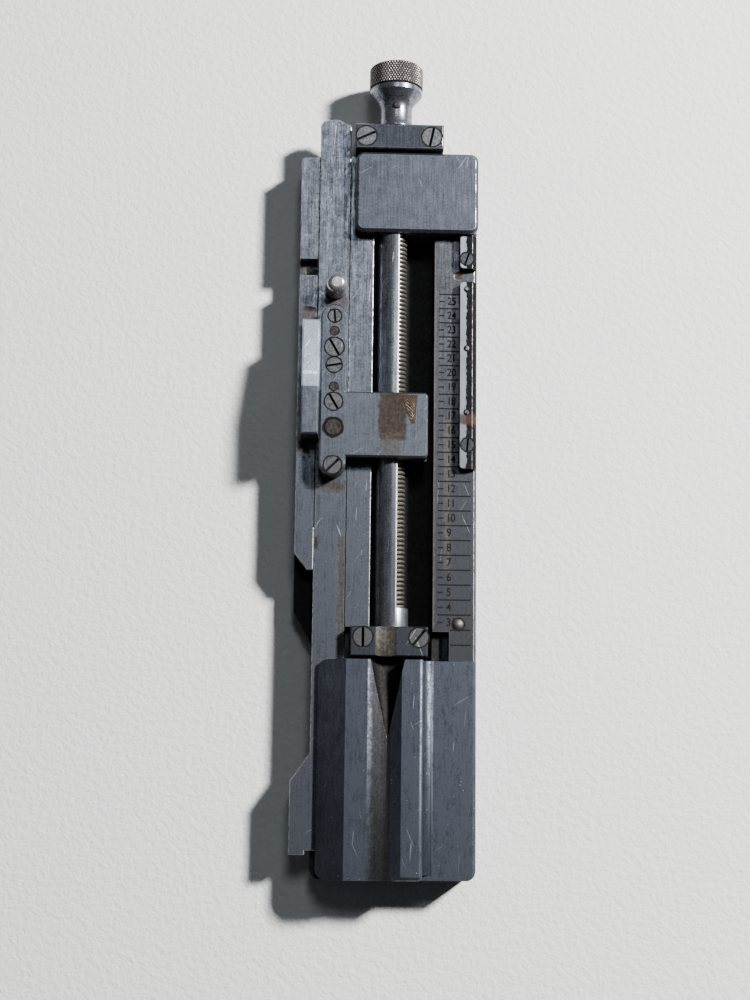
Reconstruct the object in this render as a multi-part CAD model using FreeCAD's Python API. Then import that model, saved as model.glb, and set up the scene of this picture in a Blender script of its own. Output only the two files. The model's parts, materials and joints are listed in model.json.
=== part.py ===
"""Screw-set line gauge: a lead-screw carriage and a hand-slid bar on one steel base, about 235 mm long.

Frame: +Y runs along the lead screw toward its knob, +X to the right with the knob away from the user,
+Z up. The origin is the middle of the underside of the whole object.
"""
import FreeCAD, Part
import math
import os

os.makedirs("parts", exist_ok=True)

V = FreeCAD.Vector

# ---- lengths along Y, from the handle end to the knob end (mm) ----
handle_length = 59.8
foot_gap = 0.9
foot_bracket_width = 8.3
channel_length = 113.8
head_block_length = 24.0
end_gap = 1.0
end_bracket_width = 7.6
knob_gap = 0.4
knob_length = 18.8

# ---- widths along X, from left to right ----
strip_width = 5.35
bar_width = 9.1
rail_width = 6.9
channel_width = 17.65
scale_width = 12.3

# ---- heights above the underside ----
floor_thickness = 4.5
deck_height = 12.7
bar_thickness = 3.5
rail_thickness = 3.5
scale_thickness = 3.0
flange_step_height = 6.5
raised_height = 5.6
bracket_rise = 4.4
carriage_over_tube = 2.8

# ---- clearances ----
slide_gap = 0.05
seat_gap = 0.02
fit_gap = 0.05
free_gap = 0.3

# ---- screw line: lead screw, guide tube, bushes, knob ----
axis_from_channel_wall = 6.05
axis_below_deck = 1.9
screw_radius = 3.7
journal_radius = 2.5
neck_radius = 2.9
tube_radius = 4.8
tube_bore_gap = 0.1
tube_slot_edge_angle = 15.7
tube_plain_end = 5.4
tube_seat = 6.5
bush_wall = 1.25
collar_radius = 4.6
collar_length = 2.2
knob_radius = 7.88
knob_land_radius = 7.6
knob_neck_radius = 4.7
knob_base_radius = 5.2
knurl_length = 6.7
knob_chamfer = 0.5
knob_land_length = 1.5
knob_cone_length = 2.4
knob_base_rim = 0.5
knob_flare = (1.8, 0.14)
knob_neck_start = 3.2
knob_neck_end = 5.6
knob_cove = (7.1, 0.3)
knob_cove_rise = 0.95
knob_bore_depth = 13.0
pin_radius = 1.2
pin_proud = 0.35
pin_dome = 0.5
pin_from_knob_base = 6.0
collar_pin_radius = 0.6
collar_pin_sink = 0.3
thread_start = 1.4
thread_end = 16.0
journal_from_bush = 0.5

# ---- handle ----
handle_left_inset = 0.45
raised_left_inset = 1.95
raised_width = 29.05
raised_bottom_inset = 0.1
facet_width = 7.6
facet_drop = 4.5
valley_half_width = 4.7
valley_depth = 1.2
valley_from_facet = 10.75
scoop_radius = 4.8
scoop_length = 22.2
scoop_offset = 0.8
scoop_sink = 1.0
ledge_fillet = 3.0
ledge_chamfer = 0.9
corner_radius = 2.8
raised_small_radius = 1.4
raised_top_radius = 2.5
raised_edge_radius = 1.1

# ---- slid bar and its stud ----
bar_bottom_inset = 6.6
bar_overrun = 2.7
bar_foot_length = 19.8
bar_foot_slant = 7.7
bar_notch_inset = 1.0
bar_notch_depth = 1.2
bar_nose_slope = 2.0
bar_nose_flat = 5.0
bar_nose_drop = 0.6
bar_nose_radii = (1.2, 3.0, 2.2)
bar_bend_radius = 1.0
bar_foot_radius = 0.4
stud_radius = 2.9
stud_height = 8.0
stud_dome = 1.6
stud_shank_radius = 1.6
stud_from_bar_left = 5.3
stud_to_boss_gap = 2.9

# ---- edge strips and flange ----
strip_start = 15.9
strip_taper = 4.9
strip_nose = 1.6
strip_break = 4.8
strip_break_from_head = 12.2
strip_top_inset = 0.6
strip_taper_radius = 2.0
strip_nose_radius = 1.4
strip_end_radius = 1.2
flange_start = 4.7
flange_slant = 9.3
flange_end_radius = 1.5

# ---- brackets and head block ----
foot_bracket_left = 11.4
foot_bracket_right = 10.1
end_bracket_left = 11.8
end_bracket_right = 13.75
head_block_left = 11.6
bracket_valley_depth = 0.4
bracket_valley_half = 2.9
bracket_valley_shift = 1.5
bracket_chamfer = 0.35
head_corner_radius = 2.3
head_edge_chamfer = 0.8
head_screw_inset = 6.0
head_bore_end = 2.0
foot_screw_left = 7.9
foot_screw_right = 7.6
foot_screw_from_top = 3.0
end_screw_left = 8.75
end_screw_right = 10.25
foot_screw_turns = (90, 52)
end_screw_turns = (25, 78)

# ---- scale plate ----
pocket_width = 4.6
pocket_length = 8.2
scale_edge_chamfer = 0.8
rivet_radius = 1.55
rivet_dome = 0.7
rivet_shank_radius = 0.8
rivet_from_right = 5.1
rivet_from_foot = 1.2
locating_pin_radius = 1.15
locating_pin_from_right = 5.45
locating_pin_from_head = 11.6
pin_depth = 2.0

# ---- stop bar on the scale plate ----
stop_width = 4.85
stop_height = 2.4
stop_inset = 0.3
stop_short_length = 10.0
stop_break = 3.9
stop_long_length = 54.8
stop_chamfer = 1.2
stop_corner_radius = 1.1
stop_pin_radius = 0.8
stop_pin_dome = 0.4
stop_pin_places = (2.3, 19.8, 38.5)
stop_pin_inset = 2.0
stop_pin_depth = 2.0
stop_screw_length = 6.8
stop_screw_from_break = 2.9
stop_screw_from_end = 6.9
stop_screw_insets = (2.0, 2.3)
stop_screw_turns = (70, 85)

# ---- carriage: boss, arm, jaw ----
carriage_start = 42.0
boss_length = 49.5
boss_radius = 3.8
boss_from_bar_left = 4.85
jaw_plate_thickness = 2.5
arm_from_boss_start = 5.4
arm_length = 18.7
arm_right_from_channel = 2.0
arm_leg_width = 3.9
arm_leg_depth = 11.0
arm_corner_radius = 1.2
arm_edge_chamfer = 0.5
jaw_finger_width = 4.9
jaw_finger_start = 11.1
jaw_finger_length = 33.9
jaw_ridge_from_start = 17.5
jaw_ridge_height = 8.75
jaw_end_height = 5.8
jaw_strip_inset = 1.2
jaw_chamfer = 0.45
tube_slide_gap = 0.08
fastener_shift = 0.1

# ---- release button, its slide and spring, inside the carriage ----
button_from_boss_start = 13.7
button_radius = 2.45
button_ring_radius = 2.95
button_ring_depth = 0.8
button_chamfer = 0.25
button_tail = 0.35
release_travel = 0.9
release_wall = 0.9
release_leg_gap = 0.15
release_bar_width = 4.0
release_bar_thickness = 1.4
release_roof = 1.15
release_wedge_reach = 1.2
release_leg_width = 1.8
nut_half_height = 2.2
nut_gap = 0.05
spring_radius = 0.9
spring_wire_radius = 0.25
spring_length = 2.4
spring_tab = 1.0
spring_drop = 1.2
web_thickness = 1.1

# ---- fasteners: head radius, head height, shank radius, slot width ----
bracket_screw = (2.6, 1.8, 1.5, 0.75)
end_screw = (2.8, 1.8, 1.5, 0.75)
boss_screw_large = (2.6, 1.5, 1.3, 0.7)
boss_screw_middle = (2.42, 1.5, 1.3, 0.7)
boss_screw_small = (2.1, 1.5, 1.2, 0.65)
boss_screw_tiny = (1.75, 1.3, 1.0, 0.6)
stop_screw = (1.8, 1.2, 0.9, 0.55)
under_screw = (2.6, 2.0, 1.5, 0.8)
slot_depth = 0.75
dowel_radius = 1.15
thread_reach = 2.4
scale_thread_reach = 1.8
plate_screw_shares = (0.16, 0.5, 0.84)
strip_screw_shares = (0.25, 0.8)

# ---- places that follow from the sizes above ----
overall_length = (handle_length + foot_gap + foot_bracket_width + channel_length + head_block_length
                  + end_gap + end_bracket_width + knob_gap + knob_length)
overall_width = strip_width + bar_width + rail_width + channel_width + scale_width

y_handle0 = -overall_length / 2
y_handle1 = y_handle0 + handle_length
y_foot0 = y_handle1 + foot_gap
y_foot1 = y_foot0 + foot_bracket_width
y_head0 = y_foot1 + channel_length
y_head1 = y_head0 + head_block_length
y_end0 = y_head1 + end_gap
y_end1 = y_end0 + end_bracket_width
y_knob0 = y_end1 + knob_gap

x_left = -overall_width / 2
x_bar0 = x_left + strip_width
x_bar1 = x_bar0 + bar_width
x_channel0 = x_bar1 + rail_width
x_channel1 = x_channel0 + channel_width
x_right = x_channel1 + scale_width
x_axis = x_channel0 + axis_from_channel_wall

axis_height = deck_height - axis_below_deck
z_left_land = deck_height - bar_thickness
z_right_land = deck_height - scale_thickness
z_raised = deck_height + raised_height
z_bracket = deck_height + bracket_rise
z_carriage = axis_height + tube_radius + carriage_over_tube
z_above_deck = deck_height + slide_gap

x_handle_left = x_bar0 + handle_left_inset
x_raised0 = x_bar0 + raised_left_inset
x_raised1 = x_raised0 + raised_width
x_facet1 = x_raised0 + facet_width
x_valley = x_facet1 + valley_from_facet

y_bar0 = y_handle0 + bar_bottom_inset
y_bar1 = y_end1 + bar_overrun
y_flange = y_foot1 + flange_start
y_strip0 = y_foot1 + strip_start
y_strip1 = y_head0 - strip_break_from_head
y_strip2 = y_strip1 + strip_break
y_strip3 = y_head1 - strip_top_inset

y_boss0 = y_foot1 + carriage_start
y_boss1 = y_boss0 + boss_length
y_arm0 = y_boss0 + arm_from_boss_start
y_arm1 = y_arm0 + arm_length
y_finger0 = y_boss0 + jaw_finger_start
y_finger1 = y_finger0 + jaw_finger_length
y_ridge = y_finger0 + jaw_ridge_from_start
x_boss = x_bar0 + boss_from_bar_left
x_arm1 = x_channel1 - arm_right_from_channel
x_stud = x_bar0 + stud_from_bar_left
y_stud = y_boss1 + stud_to_boss_gap + stud_radius
z_jaw_top = z_above_deck + jaw_plate_thickness

x_fastener = x_boss + fastener_shift
x_finger0 = x_left + jaw_strip_inset
x_finger1 = x_finger0 + jaw_finger_width
boss_screw_length = z_carriage - z_above_deck - free_gap

y_button = y_boss0 + button_from_boss_start
z_release1 = z_carriage - release_roof
z_release0 = z_release1 - release_bar_thickness
z_button0 = z_release0 - button_tail
z_spring = z_release0 - spring_drop
x_wedge = x_fastener + release_wedge_reach
x_release_leg1 = x_arm1 - release_wall - release_travel - release_leg_gap
x_release_leg0 = x_release_leg1 - release_leg_width
x_web1 = x_axis - tube_radius + free_gap
x_web0 = x_web1 - web_thickness
x_tab0 = x_web0 - spring_length - spring_tab

tube_bore = screw_radius + tube_bore_gap
end_bush_radius = neck_radius + bush_wall
y_tube0 = y_foot1 - tube_seat
y_tube1 = y_head1 - head_bore_end
y_journal0 = y_tube0 + journal_from_bush
y_thread0 = y_foot1 + thread_start
y_thread1 = y_head0 + thread_end
y_neck1 = y_knob0 + knob_bore_depth - free_gap
y_collar0 = y_end0 + slide_gap
y_collar_pin = y_collar0 + collar_length / 2
y_end_bush = y_collar0 + collar_length + slide_gap
y_knob_pin = y_knob0 + pin_from_knob_base

z_stop = deck_height + stop_height
z_stop_pin = deck_height - stop_pin_depth
x_stop1 = x_right - stop_inset
x_stop0 = x_stop1 - stop_width
y_stop3 = y_head0 - seat_gap
y_stop2 = y_stop3 - stop_short_length
y_stop1 = y_stop2 - stop_break
y_stop0 = y_stop1 - stop_long_length

boss_screws = (
    (2.9, boss_screw_middle, 45),
    (21.1, boss_screw_middle, -60),
    (31.7, boss_screw_small, 10),
    (36.9, boss_screw_large, -60),
    (46.0, boss_screw_tiny, 95),
)
boss_dowels = (25.4, 41.6)


def box(x0, x1, y0, y1, z0, z1):
    """A block between two corners."""
    return Part.makeBox(x1 - x0, y1 - y0, z1 - z0, V(x0, y0, z0))


def post(x, y, radius, z0, z1):
    """A cylinder standing along Z."""
    return Part.makeCylinder(radius, z1 - z0, V(x, y, z0))


def rod(radius, y0, y1, x=None, z=None):
    """A cylinder along Y, on the lead screw's line unless told otherwise."""
    x = x_axis if x is None else x
    z = axis_height if z is None else z
    return Part.makeCylinder(radius, y1 - y0, V(x, y0, z), V(0, 1, 0))


def rounded_prism(corners, z0, z1):
    """A slab whose outline turns at (x, y, corner radius) points, each corner an arc."""
    count = len(corners)
    ends = []
    for i in range(count):
        x, y, radius = corners[i]
        here = V(x, y, z0)
        back = (V(corners[i - 1][0], corners[i - 1][1], z0) - here).normalize()
        ahead_x, ahead_y, _ = corners[(i + 1) % count]
        ahead = (V(ahead_x, ahead_y, z0) - here).normalize()
        if radius == 0:
            ends.append((here, None, here))
            continue
        half = back.getAngle(ahead) / 2
        reach = radius / math.tan(half)
        middle = (back + ahead).normalize()
        centre = here + middle * (radius / math.sin(half))
        ends.append((here + back * reach, centre - middle * radius, here + ahead * reach))
    edges = []
    for i in range(count):
        start, middle, end = ends[i]
        if middle is not None:
            edges.append(Part.Arc(start, middle, end).toShape())
        following = ends[(i + 1) % count][0]
        if end.distanceToPoint(following) > 1e-6:
            edges.append(Part.LineSegment(end, following).toShape())
    return Part.Face(Part.Wire(edges)).extrude(V(0, 0, z1 - z0))


def prism_along_y(points, y0, y1):
    """A bar along Y whose section is a polygon of (x, z) points."""
    wire = Part.makePolygon([V(x, y0, z) for x, z in points] + [V(points[0][0], y0, points[0][1])])
    return Part.Face(wire).extrude(V(0, y1 - y0, 0))


def prism_along_x(points, x0, x1):
    """A bar along X whose section is a polygon of (y, z) points."""
    wire = Part.makePolygon([V(x0, y, z) for y, z in points] + [V(x0, points[0][0], points[0][1])])
    return Part.Face(wire).extrude(V(x1 - x0, 0, 0))


def turned(profile):
    """A body turned about the lead screw's line from (radius, y) points."""
    points = [V(x_axis + radius, y, axis_height) for radius, y in profile]
    wire = Part.makePolygon(points + [points[0]])
    return Part.Face(wire).revolve(V(x_axis, 0, axis_height), V(0, 1, 0), 360)


def chamfer_top(shape, size, z_top):
    """Chamfer the straight and round edges that bound the top face at z_top."""
    edges = []
    for edge in shape.Edges:
        low = edge.BoundBox.ZMin
        high = edge.BoundBox.ZMax
        if abs(low - z_top) < 1e-4 and abs(high - z_top) < 1e-4:
            edges.append(edge)
    return shape.makeChamfer(size, edges)


def slotted_screw(x, y, z_top, kind, length, turn):
    """A cheese-head screw, head flush at z_top, slot turned by an angle from X."""
    head_radius, head_height, shank_radius, slot_width = kind
    head = post(x, y, head_radius, z_top - head_height, z_top)
    shank = post(x, y, shank_radius, z_top - length, z_top - head_height)
    slot = box(-head_radius - 1, head_radius + 1, -slot_width / 2, slot_width / 2,
               z_top - slot_depth, z_top + 1)
    slot.rotate(V(0, 0, 0), V(0, 0, 1), turn)
    slot.translate(V(x, y, 0))
    return head.fuse(shank).cut(slot)


def screw_hole(x, y, z_top, kind, length):
    """The counterbored hole that a screw sits in, cleared round the head and the shank."""
    head_radius, head_height, shank_radius, _ = kind
    head = post(x, y, head_radius + fit_gap, z_top - head_height, z_top + 1)
    shank = post(x, y, shank_radius + seat_gap, z_top - length - free_gap, z_top)
    return head.fuse(shank)


def under_screw_solid(x, y, length):
    """A screw driven up from the underside, its head flush with the base."""
    head_radius, head_height, shank_radius, slot_width = under_screw
    head = post(x, y, head_radius, 0, head_height)
    shank = post(x, y, shank_radius, head_height, length)
    slot = box(x - head_radius - 1, x + head_radius + 1, y - slot_width / 2, y + slot_width / 2,
               -1, slot_depth)
    return head.fuse(shank).cut(slot)


def under_hole(x, y, length):
    """The hole for a screw driven up from the underside."""
    head_radius, head_height, shank_radius, _ = under_screw
    head = post(x, y, head_radius + fit_gap, -1, head_height)
    return head.fuse(post(x, y, shank_radius + seat_gap, 0, length + free_gap))


def under_places():
    """Where screws come up from the underside: node name, x, y, length."""
    rail_x = (x_bar1 + x_channel0) / 2
    strip_x = (x_left + x_bar0) / 2
    scale_x = (x_channel1 + x_right) / 2
    head_x = (x_axis + tube_radius + x_channel1) / 2
    land_top = z_left_land + thread_reach
    rail_top = deck_height - rail_thickness + thread_reach
    scale_top = z_right_land + scale_thread_reach
    head_top = deck_height
    places = []
    for share in plate_screw_shares:
        y = y_foot1 + share * (y_head1 - y_foot1)
        places.append(("rail_screws", rail_x, y, rail_top))
        places.append(("scale_plate_screws", scale_x, y, scale_top))
    for share in strip_screw_shares:
        places.append(("edge_strip_screws", strip_x, y_strip0 + share * (y_strip1 - y_strip0), land_top))
        places.append(("edge_strip_screws", strip_x, y_strip2 + share * (y_strip3 - y_strip2), land_top))
    for y in (y_head0 + head_screw_inset, y_head1 - head_screw_inset):
        places.append(("head_block_screws", head_x, y, head_top))
    return places


def foot_screw_places():
    """The foot bracket's two screws: x, y, length, slot angle."""
    y = y_foot1 - foot_screw_from_top
    left_turn, right_turn = foot_screw_turns
    return ((x_axis - foot_screw_left, y, z_bracket - z_left_land + thread_reach, left_turn),
            (x_axis + foot_screw_right, y, z_bracket - floor_thickness + thread_reach, right_turn))


def end_screw_places():
    """The end bracket's two screws: x, y, length, slot angle."""
    y = (y_end0 + y_end1) / 2
    length = z_bracket - floor_thickness + thread_reach
    left_turn, right_turn = end_screw_turns
    return ((x_axis - end_screw_left, y, length, left_turn),
            (x_axis + end_screw_right, y, length, right_turn))


def scale_pin_places():
    """The two pins through the scale plate into the land: x, y, radius, depth in the land."""
    return ((x_right - rivet_from_right, y_foot1 + rivet_from_foot, rivet_shank_radius, pin_depth),
            (x_right - locating_pin_from_right, y_head0 - locating_pin_from_head,
             locating_pin_radius, pin_depth))


def stop_screw_places():
    """The stop bar's two screws: x, y, slot angle."""
    short_inset, long_inset = stop_screw_insets
    short_turn, long_turn = stop_screw_turns
    return ((x_stop0 + short_inset, y_stop2 + stop_screw_from_break, short_turn),
            (x_stop0 + long_inset, y_stop0 + stop_screw_from_end, long_turn))


def stop_pin_list():
    """The three domed pins in the long stop bar: x, y."""
    return [(x_stop0 + stop_pin_inset, y_stop1 - place) for place in stop_pin_places]


def boss_screw_list():
    """The carriage's screws: x, y, kind, slot angle."""
    return [(x_fastener, y_boss0 + place, kind, turn) for place, kind, turn in boss_screws]


def lower_strip_corners():
    """The lower edge strip's outline, tapered at its handle end."""
    return ((x_left, y_strip0 + strip_taper, strip_taper_radius),
            (x_bar0 - strip_nose, y_strip0, strip_nose_radius),
            (x_bar0, y_strip0, 0), (x_bar0, y_strip1, 0), (x_left, y_strip1, 0))


def stadium(x, y0, y1, radius, z0, z1):
    """A slab with two full-round ends, centred on x."""
    middle = box(x - radius, x + radius, y0 + radius, y1 - radius, z0, z1)
    return middle.multiFuse([post(x, y0 + radius, radius, z0, z1), post(x, y1 - radius, radius, z0, z1)])


def grooved(half_width, depth, x, z_top, y0, y1):
    """The cutter for a shallow round-bottomed groove along Y."""
    radius = (half_width ** 2 + depth ** 2) / (2 * depth)
    return rod(radius, y0, y1, x, z_top + radius - depth)


# ---- the fixed body ----
def make_base_frame():
    """The one-piece bed: floor, two lands beside the screw channel, and the handle block."""
    floor = box(x_bar0, x_right, y_handle1, y_head1, 0, floor_thickness)
    left_land = box(x_bar0, x_channel0, y_handle1, y_head1, 0, z_left_land)
    right_land = box(x_channel1, x_right, y_handle1, y_head1, 0, z_right_land)
    tongue = box(x_axis - end_bracket_left, x_axis + end_bracket_right, y_head1, y_end1, 0, floor_thickness)
    flange = rounded_prism(((x_left, y_flange, 0), (x_bar0, y_flange - flange_slant, 0),
                            (x_bar0, y_head1, 0), (x_left, y_head1, flange_end_radius)),
                           0, flange_step_height)
    lower_seat = rounded_prism(lower_strip_corners(), 0, z_left_land)
    upper_seat = box(x_left, x_bar0, y_strip1, y_strip3, 0, z_left_land)
    handle = rounded_prism(((x_handle_left, y_handle0, corner_radius), (x_right, y_handle0, corner_radius),
                            (x_right, y_handle1, 0), (x_handle_left, y_handle1, 0)), 0, deck_height)
    body = floor.multiFuse([left_land, right_land, tongue, flange, lower_seat, upper_seat, handle,
                            make_raised_block()])
    bar_run = box(x_handle_left - 1, x_bar1, y_handle0 - 1, y_handle1 + 1, z_left_land, z_above_deck)
    body = body.cut(bar_run).cut(make_ledge_bevel()).cut(make_scoop())
    holes = [under_hole(x, y, length) for _, x, y, length in under_places()]
    for x, y, length, _ in foot_screw_places():
        holes.append(screw_hole(x, y, z_bracket, bracket_screw, length))
    for x, y, length, _ in end_screw_places():
        holes.append(screw_hole(x, y, z_bracket, end_screw, length))
    for x, y, _ in stop_screw_places():
        holes.append(screw_hole(x, y, z_stop, stop_screw, stop_screw_length))
    for x, y, radius, depth in scale_pin_places():
        holes.append(post(x, y, radius + seat_gap, z_right_land - depth, deck_height))
    return body.cut(holes[0].multiFuse(holes[1:])).removeSplitter()


def make_raised_block():
    """The hand block on top of the handle: facet on the left, valley along the middle."""
    y0 = y_handle0 + raised_bottom_inset
    block = rounded_prism(((x_raised0, y0, corner_radius), (x_raised1, y0, raised_small_radius),
                           (x_raised1, y_handle1, 0), (x_raised0, y_handle1, raised_top_radius)),
                          deck_height, z_raised)
    slope = facet_drop / facet_width
    facet = prism_along_y(((x_facet1, z_raised), (x_facet1, z_raised + 1), (x_raised0 - 1, z_raised + 1),
                           (x_raised0 - 1, z_raised - facet_drop - slope)), y_handle0 - 1, y_handle1 + 1)
    valley = grooved(valley_half_width, valley_depth, x_valley, z_raised, y_handle0 - 1, y_handle1 + 1)
    corner = box(x_raised1, x_raised1 + ledge_fillet, y0 + raised_small_radius, y_handle1,
                 deck_height, deck_height + ledge_fillet)
    hollow = rod(ledge_fillet, y_handle0, y_handle1 + 1,
                 x_raised1 + ledge_fillet, deck_height + ledge_fillet)
    block = block.cut(facet).cut(valley)
    crest = [edge for edge in block.Edges
             if edge.BoundBox.ZMin > z_raised - 1e-4 and edge.BoundBox.XMin > x_raised1 - 1e-4]
    return block.makeFillet(raised_edge_radius, crest).fuse(corner.cut(hollow))


def make_ledge_bevel():
    """The cutter for the bevel along the ledge's outer edge."""
    return prism_along_y(((x_right - ledge_chamfer, deck_height), (x_right + 1, deck_height + 1),
                          (x_right + 1, deck_height - ledge_chamfer - 1),
                          (x_right, deck_height - ledge_chamfer)), y_handle0 - 1, y_handle1)


def make_scoop():
    """The cutter for the tapered relief in the handle behind the screw's end."""
    return Part.makeCone(scoop_radius, 0, scoop_length,
                         V(x_valley + scoop_offset, y_handle1, z_raised - scoop_sink), V(0, -1, 0))


def make_rail():
    """The flat rail between the slid bar and the screw channel."""
    rail = box(x_bar1, x_channel0, y_foot1 + seat_gap, y_head1, z_left_land, deck_height)
    return rail.cut(under_cutters("rail_screws"))


def make_lower_strip():
    """The lower edge strip, left of the slid bar."""
    strip = rounded_prism(lower_strip_corners(), z_left_land, deck_height)
    return strip.cut(under_cutters("edge_strip_screws"))


def make_upper_strip():
    """The upper edge strip, left of the slid bar."""
    strip = rounded_prism(((x_left, y_strip2, 0), (x_bar0, y_strip2, 0), (x_bar0, y_strip3, 0),
                           (x_left, y_strip3, strip_end_radius)), z_left_land, deck_height)
    return strip.cut(under_cutters("edge_strip_screws"))


def make_scale_plate():
    """The graduated plate on the right land, with a pocket beside the foot bracket."""
    y0 = y_handle1 + seat_gap
    plate = box(x_channel1, x_right, y0, y_head1, z_right_land, deck_height)
    pocket = box(x_channel1 - 1, x_channel1 + pocket_width, y0 - 1, y_handle1 + pocket_length,
                 z_right_land - 1, deck_height + 1)
    bevel = prism_along_y(((x_right - scale_edge_chamfer, deck_height), (x_right + 1, deck_height + 1),
                           (x_right + 1, deck_height - scale_edge_chamfer - 1),
                           (x_right, deck_height - scale_edge_chamfer)), y0 - 1, y_head0)
    plate = plate.cut(pocket).cut(bevel).cut(under_cutters("scale_plate_screws"))
    for x, y, radius, depth in scale_pin_places():
        plate = plate.cut(post(x, y, radius + seat_gap, z_right_land - depth, deck_height + 1))
    for x, y, _ in stop_screw_places():
        plate = plate.cut(screw_hole(x, y, z_stop, stop_screw, stop_screw_length))
    for x, y in stop_pin_list():
        plate = plate.cut(post(x, y, stop_pin_radius + seat_gap, z_stop_pin, deck_height + 1))
    return plate


def under_cutters(node):
    """The screw holes that come up into one plate."""
    holes = [under_hole(x, y, length) for name, x, y, length in under_places() if name == node]
    return holes[0].multiFuse(holes[1:])


def make_scale_rivet():
    """The domed rivet at the low end of the scale."""
    x, y, radius, depth = scale_pin_places()[0]
    ball_radius = (rivet_radius ** 2 + rivet_dome ** 2) / (2 * rivet_dome)
    ball = Part.makeSphere(ball_radius, V(x, y, deck_height + rivet_dome - ball_radius))
    head = ball.common(post(x, y, rivet_radius, deck_height, deck_height + rivet_dome))
    return head.fuse(post(x, y, radius, z_right_land - depth, deck_height))


def make_locating_pin():
    """The pin that locates the scale plate, flush with its top."""
    x, y, radius, depth = scale_pin_places()[1]
    return post(x, y, radius, z_right_land - depth, deck_height)


def make_stop_bar(y0, y1):
    """One length of the raised stop bar, with round inner corners and a bevelled outer edge."""
    bar = box(x_stop0, x_stop1, y0, y1, deck_height, z_stop)
    inner_corners = [edge for edge in bar.Edges
                     if edge.BoundBox.ZLength > stop_height / 2 and edge.BoundBox.XMax < x_stop0 + 1e-4]
    bar = bar.makeFillet(stop_corner_radius, inner_corners)
    bevel = prism_along_y(((x_stop1 - stop_chamfer, z_stop), (x_stop1 + 1, z_stop + 1),
                           (x_stop1 + 1, z_stop - stop_chamfer - 1), (x_stop1, z_stop - stop_chamfer)),
                          y0 - 1, y1 + 1)
    bar = bar.cut(bevel)
    for x, y, _ in stop_screw_places():
        bar = bar.cut(screw_hole(x, y, z_stop, stop_screw, stop_screw_length))
    for x, y in stop_pin_list():
        bar = bar.cut(post(x, y, stop_pin_radius + seat_gap, deck_height - 1, z_stop + 1))
    return bar


def make_stop_pins():
    """The domed pins through the long stop bar."""
    pins = []
    for x, y in stop_pin_list():
        pin = post(x, y, stop_pin_radius, z_stop_pin, z_stop + stop_pin_dome)
        pins.append(round_top(pin, stop_pin_dome, z_stop + stop_pin_dome))
    return Part.makeCompound(pins)


def round_top(shape, radius, z_top):
    """Round the edges that bound the flat top of a turned post."""
    rims = [edge for edge in shape.Edges if edge.BoundBox.ZMin > z_top - 1e-4 and edge.Closed]
    return shape.makeFillet(radius, rims)


def make_foot_bracket():
    """The bearing block across the foot of the channel."""
    x0 = x_axis - foot_bracket_left
    x1 = x_axis + foot_bracket_right
    upper = box(x0, x1, y_foot0, y_foot1, z_left_land, z_bracket)
    upper = chamfer_top(upper, bracket_chamfer, z_bracket)
    lower = box(x_channel0 + seat_gap, x1, y_foot0, y_foot1, floor_thickness, z_left_land)
    bracket = upper.fuse(lower).removeSplitter()
    bracket = bracket.cut(grooved(bracket_valley_half, bracket_valley_depth, x_axis - bracket_valley_shift,
                                  z_bracket, y_foot0 - 1, y_foot1 + 1))
    bracket = bracket.cut(rod(tube_radius + seat_gap, y_foot1 - tube_seat, y_foot1 + 1))
    for x, y, length, _ in foot_screw_places():
        bracket = bracket.cut(screw_hole(x, y, z_bracket, bracket_screw, length))
    return bracket


def make_end_bracket():
    """The bearing block beyond the head block, bored for the upper bush and the thrust collar."""
    bracket = box(x_axis - end_bracket_left, x_axis + end_bracket_right, y_end0, y_end1,
                  floor_thickness, z_bracket)
    bracket = chamfer_top(bracket, bracket_chamfer, z_bracket)
    bracket = bracket.cut(rod(end_bush_radius + seat_gap, y_end0 - 1, y_end1 + 1))
    bracket = bracket.cut(rod(collar_radius + free_gap, y_end0 - 1, y_end_bush))
    for x, y, length, _ in end_screw_places():
        bracket = bracket.cut(screw_hole(x, y, z_bracket, end_screw, length))
    return bracket


def make_head_block():
    """The block that bridges the channel and holds the upper end of the guide tube."""
    cap = rounded_prism(((x_axis - head_block_left, y_head0, head_corner_radius),
                         (x_right, y_head0, head_corner_radius), (x_right, y_head1, head_corner_radius),
                         (x_axis - head_block_left, y_head1, head_corner_radius)), deck_height, z_bracket)
    cap = chamfer_top(cap, head_edge_chamfer, z_bracket)
    key = box(x_channel0 + seat_gap, x_channel1 - seat_gap, y_head0, y_head1, floor_thickness, deck_height)
    block = cap.fuse(key)
    block = block.cut(rod(tube_radius + seat_gap, y_head0 - 1, y_head1 - head_bore_end))
    block = block.cut(rod(neck_radius + free_gap, y_head0, y_head1 + 1))
    return block.cut(under_cutters("head_block_screws"))


def make_guide_tube():
    """The tube round the lead screw, open on its right side between its two plain ends."""
    tube = rod(tube_radius, y_tube0, y_tube1).cut(rod(tube_bore, y_tube0 - 1, y_tube1 + 1))
    edge = tube_radius * math.sin(math.radians(tube_slot_edge_angle))
    slot = box(x_axis + edge, x_axis + tube_radius + 1, y_foot1 + tube_plain_end, y_head0 + head_screw_inset,
               axis_height - tube_radius - 1, axis_height + tube_radius + 1)
    return tube.cut(slot)


def make_bush(outer, inner, y0, y1):
    """A plain bearing bush on the screw's line."""
    return rod(outer, y0, y1).cut(rod(inner, y0 - 1, y1 + 1))


# ---- the spindle ----
def make_lead_screw():
    """The screw, its lower journal and its neck up into the knob."""
    thread_lead_in = (screw_radius - journal_radius) / 2
    screw = turned(((0, y_journal0), (journal_radius, y_journal0), (journal_radius, y_thread0),
                    (screw_radius, y_thread0 + thread_lead_in), (screw_radius, y_thread1 - thread_lead_in),
                    (neck_radius, y_thread1), (neck_radius, y_neck1), (0, y_neck1)))
    screw = screw.cut(post(x_axis, y_knob_pin, pin_radius + seat_gap, 0, 2 * axis_height))
    return screw.cut(post(x_axis, y_collar_pin, collar_pin_radius + seat_gap, 0, 2 * axis_height))


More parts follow.
